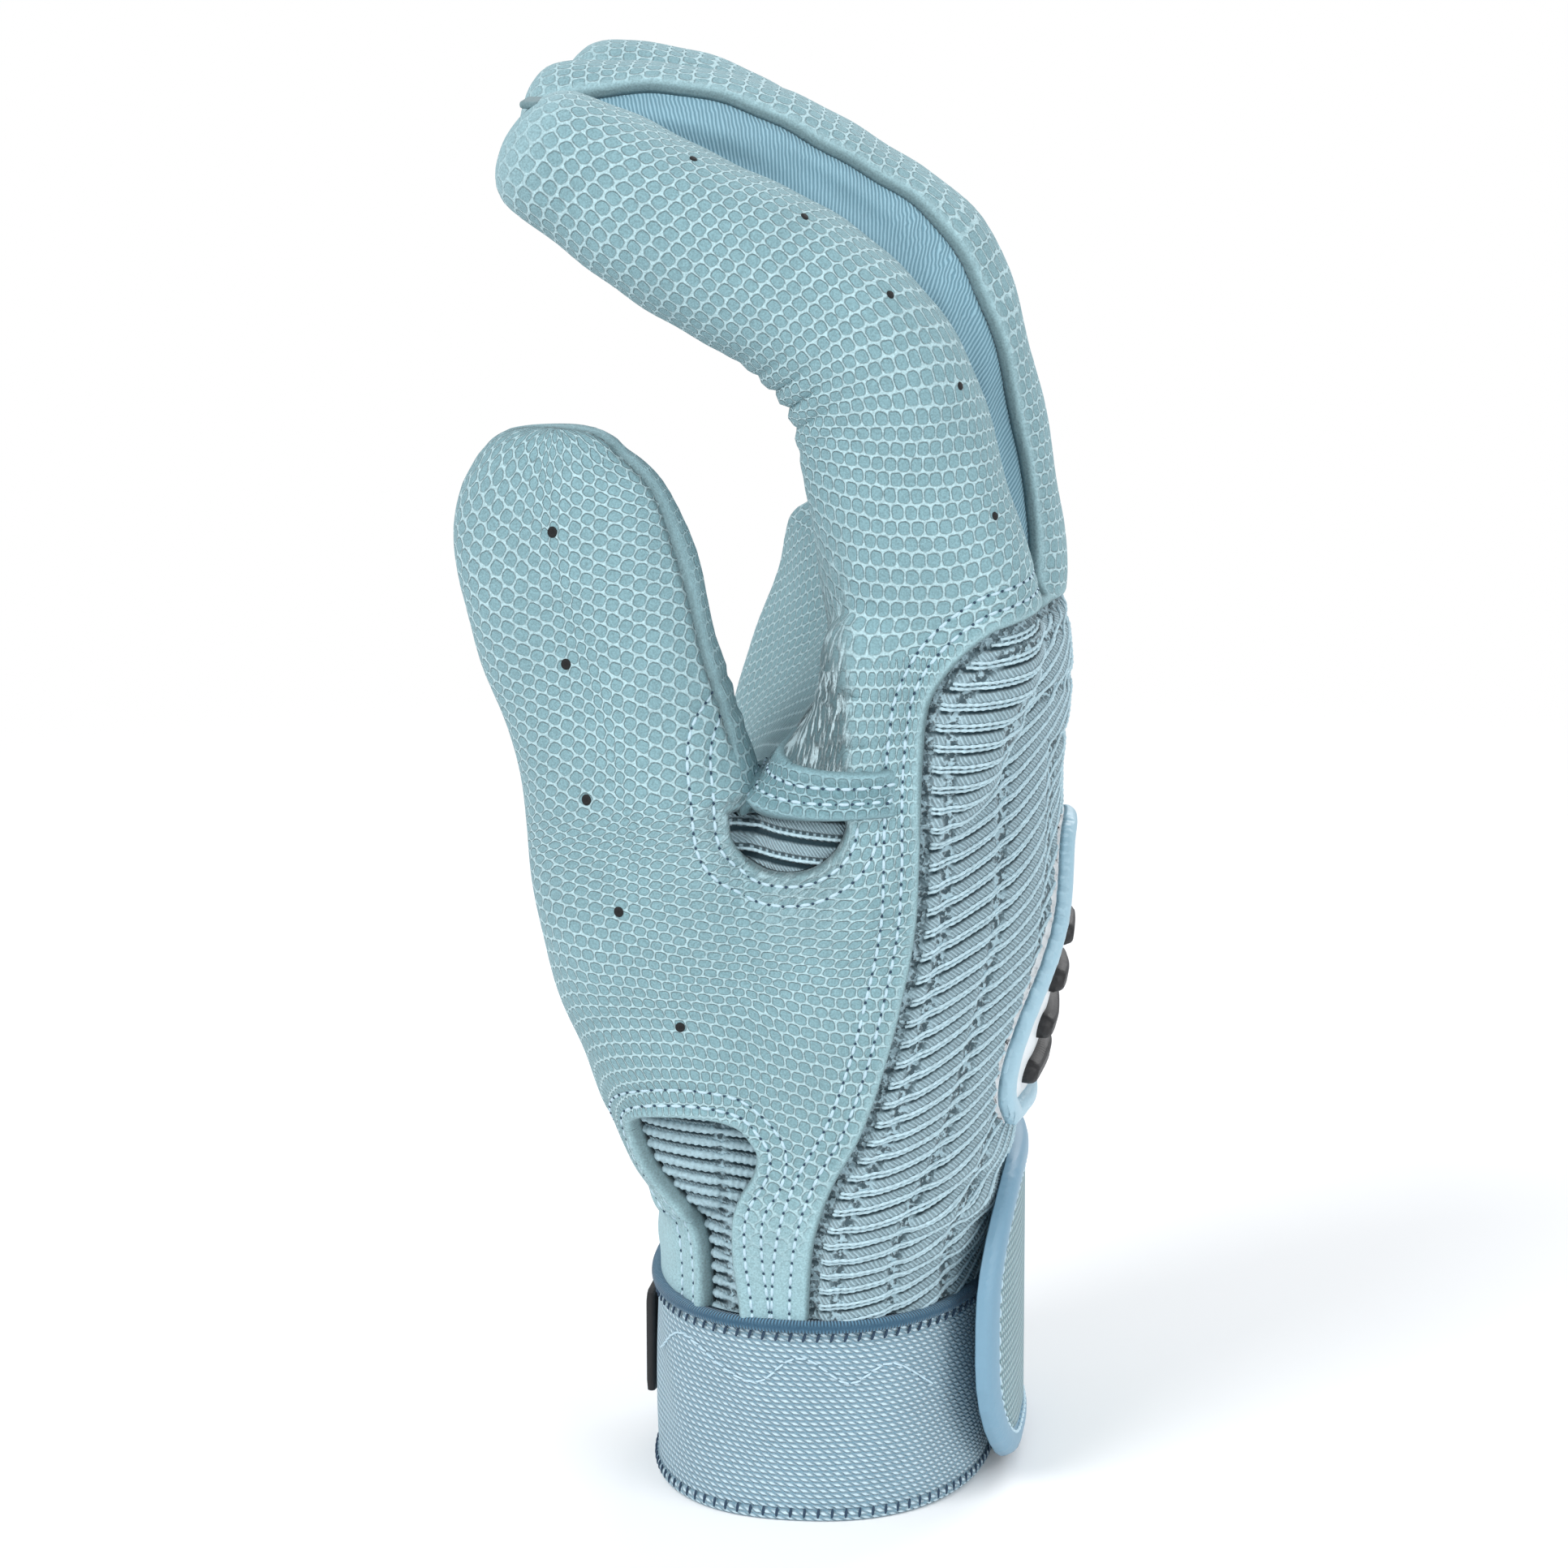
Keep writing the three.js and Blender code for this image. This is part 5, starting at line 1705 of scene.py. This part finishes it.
def small_parts(rubber, leather_plain):
    piece = box_mesh("pull_tab_rubber", *cad_box("pull_tab"), 0.8, rubber)
    fix(piece, "hand", "black_rubber", "pull_tab")
    line, _ = finger_line("index")
    tip = np.array([line[-1][0] - 1.5, -31.5, line[-1][2] + 6.5])
    piece = box_mesh("index_tip_tab", tip - [1.4, 3, 0.5], tip + [1.4, 3, 0.6], 0.5, leather_plain)
    fix(piece, "index", "leather")


THUMB_HOLES = [(-30.2, 139.6), (-28.3, 122.1), (-25.2, 103.6), (-21.4, 88.3), (-13.7, 72.4)]
INDEX_HOLES = [(2.2, 180.5), (13.8, 170.6), (22.5, 158.5), (27.3, 141.4), (-12.6, 187.8)]
HOLE_ROWS = [(0, 0.06), (0.8, 0.06), (1.0, -0.15)]


def holes(paint, top):
    """Small round air holes with a slightly raised rim: black discs on the leather, painted as the shade
    inside each hole.
    """
    rows = {}
    for spot in THUMB_HOLES + INDEX_HOLES:
        mine = top.data["shown"][:, 1] < -0.25
        away = np.hypot(top.verts[:, 0] - spot[0], top.verts[:, 2] - spot[1]) + np.where(mine, 0, 1e3)
        at = int(np.argmin(away))
        centre, out = top.verts[at], top.data["shown"][at]
        side = np.cross(out, (0, 0, 1.0))
        side /= np.linalg.norm(side)
        up = np.cross(side, out) * -1
        body = "index" if top.data["index"][at] > 0 else "thumb" if top.data["thumb"][at] > 0 else "hand"
        sides, radius = 18, 0.55 if body == "index" else 0.72
        verts = [
            centre + out * (0.06 + lift)
            + radius * size * (side * math.cos(a) + 1.15 * up * math.sin(a))
            for size, lift in HOLE_ROWS for a in np.linspace(0, 2 * math.pi, sides, endpoint=False)
        ]
        faces = []
        for row in range(len(HOLE_ROWS) - 1):
            for s in range(sides):
                a, b = row * sides + s, row * sides + (s + 1) % sides
                faces += [(a, a + sides, b), (b, a + sides, b + sides)]
        rows.setdefault(body, []).append((np.array(verts), np.array(faces)))
    for body, parts in rows.items():
        fix(mesh_piece(f"{body}_air_holes", *joined(parts), paint), body, "leather")


FORK_TOP_STITCH = 119.0


def seam_threads(light, dark, top):
    """Rows of stitches round the knit, the windows and the crotch strap, with needle holes between, shown as
    dark marks of painted shade.
    """
    chains = []
    for field, rows in (("knit_edge", KNIT_ROWS), ("fork_edge", CROTCH_ROWS), ("wrist_edge", WRIST_ROWS)):
        for level in rows:
            chains += [(field, chain) for chain in top.lines(field, level)]
    base, face = band_face()
    band = base.lifted(face)
    for level in BAND_ROWS:
        chains += [("band", chain) for chain in band.lines("drop", level)]
    kept = {}
    for field, (points, normals) in chains:
        if len(points) < 8:
            continue
        place, along, out = spaced(points, normals, size("stitch_pitch"))
        if field == "fork_edge":
            x, _, z = place.T
            below = z < BAND_BOX[2] - 0.6
            beside = (x < BAND_BOX[0] + 0.2) & (z < FORK_TOP_STITCH)
            place, along, out = (rows[below | beside] for rows in (place, along, out))
        fields = body_fields(place)
        left = np.ones(len(place), bool)
        for body, values in fields.items():
            mine = left & (values > 0)
            left &= ~mine
            kept.setdefault(body, []).append((place[mine], along[mine], out[mine]))
        kept.setdefault("hand", []).append((place[left], along[left], out[left]))
    for body, parts in kept.items():
        place, along, out = (np.vstack([part[k] for part in parts]) for k in range(3))
        if not len(place):
            continue
        lit = stitch_mesh(place, along, out, size("stitch_length"), 0.25)
        fix(mesh_piece(f"{body}_thread", *lit, light), body, "leather")
        # Dark marks at the needle holes between stitches: painted shade in the holes.
        ends = stitch_mesh(place + along * 1.0, along, out, 0.45, 0.2)
        fix(mesh_piece(f"{body}_needle_hole_shade", *ends, dark), body, "leather")


CAMERA_AZIMUTH = 8.0
CAMERA_ELEVATION = 13.0
CAMERA_DISTANCE = 0.8
CAMERA_TARGET = (0.0, 0.0, 102.0)
CAMERA_LENS = 132.5
CAMERA_SHIFT = (-54 / 1932, -52 / 1932)


LIGHTS = {
    "key": ((-0.55, -0.75, 0.85), 0.7, 9.0),
    "fill": ((0.85, -0.6, 0.45), 0.9, 5.0),
    "back": ((0.3, 0.9, 0.7), 0.8, 5.0),
}
SKY_COLOUR = (0.93, 0.96, 1.0, 1)
SKY_STRENGTH = 0.62
FLOOR_HALF = 3.0
FLOOR_FADE = (0.5, 0.2)
FLOOR_WHITE = (0.97, 0.97, 0.97, 1)


def camera():
    target = Vector(to_scene(CAMERA_TARGET))
    az, el = math.radians(CAMERA_AZIMUTH), math.radians(CAMERA_ELEVATION)
    away = Vector((math.sin(az) * math.cos(el), -math.cos(az) * math.cos(el), math.sin(el)))
    data = bpy.data.cameras.new("camera")
    data.lens = CAMERA_LENS
    data.sensor_width = 36
    data.clip_start = 0.05
    data.shift_x, data.shift_y = CAMERA_SHIFT
    seen_from = linked("camera", data)
    seen_from.location = target + away * CAMERA_DISTANCE
    seen_from.rotation_euler = (-away).to_track_quat("-Z", "Y").to_euler()
    bpy.context.scene.camera = seen_from


def lights():
    target = Vector(to_scene(CAMERA_TARGET))
    for name, (place, wide, watts) in LIGHTS.items():
        light = bpy.data.lights.new(name, "AREA")
        light.shape = "DISK"
        light.size = wide
        light.energy = watts
        lamp = linked(name, light)
        lamp.location = place
        lamp.rotation_euler = (target - Vector(place)).to_track_quat("-Z", "Y").to_euler()


def surroundings():
    """Soft bluish light from all round, seen as white."""
    scene = bpy.context.scene
    scene.view_settings.view_transform = "Standard"
    scene.world = bpy.data.worlds.new("studio")
    scene.world.use_nodes = True
    tree = scene.world.node_tree
    tree.nodes.clear()
    rays = tree.nodes.new("ShaderNodeLightPath")
    both = tree.nodes.new("ShaderNodeMath")
    both.operation = "MAXIMUM"
    tree.links.new(rays.outputs["Is Camera Ray"], both.inputs[0])
    tree.links.new(rays.outputs["Is Transmission Ray"], both.inputs[1])
    soft = tree.nodes.new("ShaderNodeBackground")
    soft.inputs["Color"].default_value = SKY_COLOUR
    soft.inputs["Strength"].default_value = SKY_STRENGTH
    white = tree.nodes.new("ShaderNodeBackground")
    white.inputs["Color"].default_value = (1, 1, 1, 1)
    mix = tree.nodes.new("ShaderNodeMixShader")
    out = tree.nodes.new("ShaderNodeOutputWorld")
    tree.links.new(both.outputs[0], mix.inputs[0])
    tree.links.new(soft.outputs[0], mix.inputs[1])
    tree.links.new(white.outputs[0], mix.inputs[2])
    tree.links.new(mix.outputs[0], out.inputs["Surface"])


def floor():
    """A pale floor that fades out away from the glove."""
    paint = Paint("floor_white", Roughness=0.9)
    where = paint.node("ShaderNodeTexCoord").outputs["Object"]
    reach = paint.node("ShaderNodeVectorMath", {"operation": "LENGTH"}, {0: where})
    away = Value(paint, reach.outputs["Value"])
    paint.set(paint.shader, {"Alpha": away.ramp(*FLOOR_FADE)})
    corners = [(x * FLOOR_HALF, y * FLOOR_HALF, 0) for x, y in ((-1, -1), (1, -1), (1, 1), (-1, 1))]
    mesh = bpy.data.meshes.new("floor")
    mesh.from_pydata(corners, [], [(0, 1, 2, 3)])
    mesh.materials.append(paint.colour(FLOOR_WHITE))
    linked("floor", mesh)


# Worn grey darkened as painted shade for the leather's fold valleys, and a painted highlight for the fold
# ridges.
WORN_GREY_FOLD_SHADE = srgb(62, 88, 94)
FOLD_RIDGE_HIGHLIGHT = srgb(172, 192, 197)
# Black of the air holes: painted shade inside them.
HOLE_SHADE_BLACK = srgb(14, 16, 18)
PILE_GREY = srgb(70, 88, 96)


def length(name, description, millimetres):
    """A size on the panel."""
    return bpy.props.FloatProperty(
        name=name, description=description, default=millimetres * MM, min=0.05 * MM, precision=5,
        subtype="DISTANCE", unit="LENGTH",
    )


def colour(name, description, red, green, blue):
    """A colour on the panel."""
    return bpy.props.FloatVectorProperty(
        name=name, description=description, default=srgb(red, green, blue), size=4, min=0, max=1,
        subtype="COLOR",
    )


class GloveSettings(bpy.types.PropertyGroup):
    """Sizes and colours of the glove's leather, knit, thread, strap and patch"""

    leather_thickness: length("Leather thickness", "Thickness of the leather's rolled edges", 0.85)
    dimple_pitch: length("Dimple pitch", "Distance between the leather's pressed dimples", 1.85)
    stitch_pitch: length("Stitch pitch", "Distance between stitches in the seams", 2.0)
    stitch_length: length("Stitch length", "Length of thread that shows in each stitch", 1.5)
    rib_pitch: length("Rib pitch", "Distance between the ribs of the knit back", 2.75)
    cord_radius: length("Cord radius", "Radius of the twisted cords of the knit back", 0.23)
    wrist_pitch: length("Wrist cord pitch", "Distance between the cords of the wrist window", 2.0)
    leather_dent: colour("Leather dimples", "Colour in the leather's dimples", 112, 150, 158)
    leather_net: colour("Leather net", "Colour of the net between the dimples", 172, 202, 208)
    band_dent: colour("Crotch strap dimples", "Colour in the dimples of the crotch strap", 96, 134, 142)
    band_net: colour("Crotch strap net", "Colour of the crotch strap's net", 150, 184, 192)
    stretch_light: colour("Stretch cloth", "Light lines of the stretch cloth", 148, 188, 203)
    stretch_dark: colour("Stretch cloth shade", "Dark lines of the stretch cloth", 104, 144, 160)
    knit_light: colour("Knit", "Strands of the knit back and the windows", 172, 200, 210)
    # The knit's gap colour is painted shade between the ribs.
    knit_gap_shade: colour("Knit gaps", "Gaps of the knit back and the windows", 30, 52, 60)
    cord_light: colour("Knit cords", "Twisted cords of the knit back", 180, 206, 215)
    wrist_cord: colour("Wrist cords", "Twisted cords of the wrist window", 160, 186, 195)
    cuff_light: colour("Cuff", "Dashes of the elastic cuff", 196, 221, 232)
    cuff_dark: colour("Cuff shade", "Gaps of the elastic cuff", 92, 132, 152)
    binding_light: colour("Binding", "Binding at the cuff's top", 92, 134, 160)
    binding_dark: colour("Binding shade", "Gaps of the binding", 40, 72, 94)
    strap_border: colour("Strap border", "Coated edge of the closure strap", 117, 155, 177)
    inset_light: colour("Strap inset", "Knit set into the closure strap", 166, 196, 202)
    inset_dark: colour("Strap inset shade", "Gaps of the strap's inset", 86, 120, 130)
    thread_light: colour("Thread", "Stitching thread", 188, 214, 226)
    # Dark thread of the cuff's edge stitches, and painted shade at the needle holes of the seams.
    thread_dark_and_hole_shade: colour("Dark thread", "Needle holes and edge stitches", 38, 62, 84)
    patch_white: colour("Patch base", "Base of the moulded patch", 226, 232, 235)
    patch_rim: colour("Patch rim", "Round rim of the moulded patch", 160, 194, 209)
    rubber_black: colour("Rubber", "Bars of the patch, and the pull tab", 22, 22, 24)


def size(name):
    """A size from the panel, in millimetres."""
    return getattr(bpy.context.scene.glove_settings, name) / MM


def shade(name):
    """A colour from the panel."""
    return tuple(getattr(bpy.context.scene.glove_settings, name))


@functools.cache
def glove_leather(name="glove_leather", plain=False):
    return leather_paint(name, shade("leather_dent"), shade("leather_net"), size("dimple_pitch"), plain)


@functools.cache
def band_leather():
    return leather_paint("band_leather", shade("band_dent"), shade("band_net"), 0.8 * size("dimple_pitch"))


@functools.cache
def stretch_twill():
    return twill_paint("stretch_twill", shade("stretch_light"), shade("stretch_dark"), 0.62)


@functools.cache
def knit(name, pitch, slope):
    return rib_paint(name, shade("knit_light"), shade("knit_gap_shade"), pitch, slope)


@functools.cache
def cord(name):
    return plain_paint(f"twisted_{name}", shade(name), 0.8, 0.45, 0.5, 0.12)


@functools.cache
def elastic_knit():
    return dash_paint("elastic_knit", shade("cuff_light"), shade("cuff_dark"), 1.3, 0.8, 0.8)


@functools.cache
def binding_knit():
    return dash_paint("binding_knit", shade("binding_light"), shade("binding_dark"), 0.45, 2.0, 0.2)


@functools.cache
def coated_cloth():
    return plain_paint("coated_cloth", shade("strap_border"), 0.42, 0.03, 0.6, 0.03)


@functools.cache
def inset_knit():
    return dash_paint("inset_knit", shade("inset_light"), shade("inset_dark"), 0.9, 1.1)


@functools.cache
def thread():
    return plain_paint("thread", shade("thread_light"), 0.7, 0.15, 0.4, 0.08)


@functools.cache
def dark_thread_and_hole_shade():
    return plain_paint("dark_thread_and_hole_shade", shade("thread_dark_and_hole_shade"), 0.8)


@functools.cache
def black_rubber():
    return plain_paint("black_rubber_paint", shade("rubber_black"), 0.5, 0.05)


class GLOVE_OT_palm_leather(bpy.types.Operator):
    """The palm, the thumb's front, the index and little fingers and the palms of the other fingers"""

    bl_idname = "glove.palm_leather"
    bl_label = "Palm leather"

    def execute(self, context):
        leather_pieces(glove_leather())
        return {"FINISHED"}


class GLOVE_OT_back_leather(bpy.types.Operator):
    """The leather backs of the middle finger, the ring finger and the thumb"""

    bl_idname = "glove.back_leather"
    bl_label = "Leather backs"

    def execute(self, context):
        backs(glove_leather())
        return {"FINISHED"}


class GLOVE_OT_stretch_sides(bpy.types.Operator):
    """The stretch cloth along the sides of the fingers"""

    bl_idname = "glove.stretch_sides"
    bl_label = "Stretch sides"

    def execute(self, context):
        gussets(stretch_twill())
        return {"FINISHED"}


class GLOVE_OT_knit_back(bpy.types.Operator):
    """The ribbed knit over the back of the hand, with its twisted cords"""

    bl_idname = "glove.knit_back"
    bl_label = "Knit back"

    def execute(self, context):
        knit_back(knit("rib_knit", size("rib_pitch"), RIB_SLOPE), cord("cord_light"))
        return {"FINISHED"}


class GLOVE_OT_windows(bpy.types.Operator):
    """The ribbed cloth in the openings at the crotch of the thumb and at the wrist"""

    bl_idname = "glove.windows"
    bl_label = "Windows"

    def execute(self, context):
        for opening in (CROTCH_OPENING, WRIST_OPENING):
            window(opening)
        return {"FINISHED"}


class GLOVE_OT_crotch_strap(bpy.types.Operator):
    """The stitched strap across the fork of the thumb and the index finger"""

    bl_idname = "glove.crotch_strap"
    bl_label = "Crotch strap"

    def execute(self, context):
        crotch_band(band_leather())
        return {"FINISHED"}


class GLOVE_OT_cuff(bpy.types.Operator):
    """The elastic cuff with its hem, binding and stitching"""

    bl_idname = "glove.cuff"
    bl_label = "Cuff"

    def execute(self, context):
        cuff(elastic_knit(), binding_knit(), thread(), dark_thread_and_hole_shade())
        return {"FINISHED"}


class GLOVE_OT_strap(bpy.types.Operator):
    """The closure strap with its inset, its hook and loop pads and its stitched end"""

    bl_idname = "glove.strap"
    bl_label = "Closure strap"

    def execute(self, context):
        pile = plain_paint("hook_loop_pile", PILE_GREY, 0.95, 0.5, 0.5, 0.5)
        strap(coated_cloth(), inset_knit(), pile, thread())
        anchor(coated_cloth(), thread())
        return {"FINISHED"}


class GLOVE_OT_patch(bpy.types.Operator):
    """The moulded patch on the back of the hand"""

    bl_idname = "glove.patch"
    bl_label = "Back patch"

    def execute(self, context):
        white = plain_paint("patch_white_plastic", shade("patch_white"), 0.45, 0.02)
        rim = plain_paint("patch_rim_plastic", shade("patch_rim"), 0.4, 0.02)
        patch(white, rim, black_rubber())
        return {"FINISHED"}


class GLOVE_OT_tabs(bpy.types.Operator):
    """The rubber pull tab at the cuff and the small leather tab at the index fingertip"""

    bl_idname = "glove.tabs"
    bl_label = "Tabs"

    def execute(self, context):
        small_parts(black_rubber(), glove_leather("plain_leather", True))
        return {"FINISHED"}


class GLOVE_OT_air_holes(bpy.types.Operator):
    """The small air holes along the thumb and the index finger"""

    bl_idname = "glove.air_holes"
    bl_label = "Air holes"

    def execute(self, context):
        holes(plain_paint("hole_shade_black", HOLE_SHADE_BLACK, 0.8), leather_front())
        return {"FINISHED"}


class GLOVE_OT_seams(bpy.types.Operator):
    """The double rows of stitches round the knit, the windows and the crotch strap"""

    bl_idname = "glove.seams"
    bl_label = "Seams"

    def execute(self, context):
        seam_threads(thread(), dark_thread_and_hole_shade(), leather_front())
        return {"FINISHED"}


class GLOVE_OT_stage(bpy.types.Operator):
    """The camera, the lights and the floor"""

    bl_idname = "glove.stage"
    bl_label = "Stage"

    def execute(self, context):
        camera()
        lights()
        surroundings()
        floor()
        return {"FINISHED"}


OPERATORS = (
    GLOVE_OT_palm_leather, GLOVE_OT_back_leather, GLOVE_OT_stretch_sides, GLOVE_OT_knit_back,
    GLOVE_OT_windows, GLOVE_OT_crotch_strap, GLOVE_OT_cuff, GLOVE_OT_strap, GLOVE_OT_patch, GLOVE_OT_tabs,
    GLOVE_OT_air_holes, GLOVE_OT_seams, GLOVE_OT_stage,
)


class GLOVE_PT_panel(bpy.types.Panel):
    """Sizes, colours and pieces of the batting glove"""

    bl_idname = "GLOVE_PT_panel"
    bl_label = "Batting glove"
    bl_space_type = "VIEW_3D"
    bl_region_type = "UI"
    bl_category = "Glove"

    def draw(self, context):
        for name in GloveSettings.__annotations__:
            self.layout.prop(context.scene.glove_settings, name)
        for operator in OPERATORS:
            self.layout.operator(operator.bl_idname)


CLASSES = (GloveSettings, *OPERATORS, GLOVE_PT_panel)


def register():
    for each in CLASSES:
        bpy.utils.register_class(each)
    bpy.types.Scene.glove_settings = bpy.props.PointerProperty(type=GloveSettings)


def unregister():
    del bpy.types.Scene.glove_settings
    for each in reversed(CLASSES):
        bpy.utils.unregister_class(each)


def main():
    register()
    for operator in OPERATORS:
        group, name = operator.bl_idname.split(".")
        getattr(getattr(bpy.ops, group), name)()


if __name__ == "__main__":
    main()
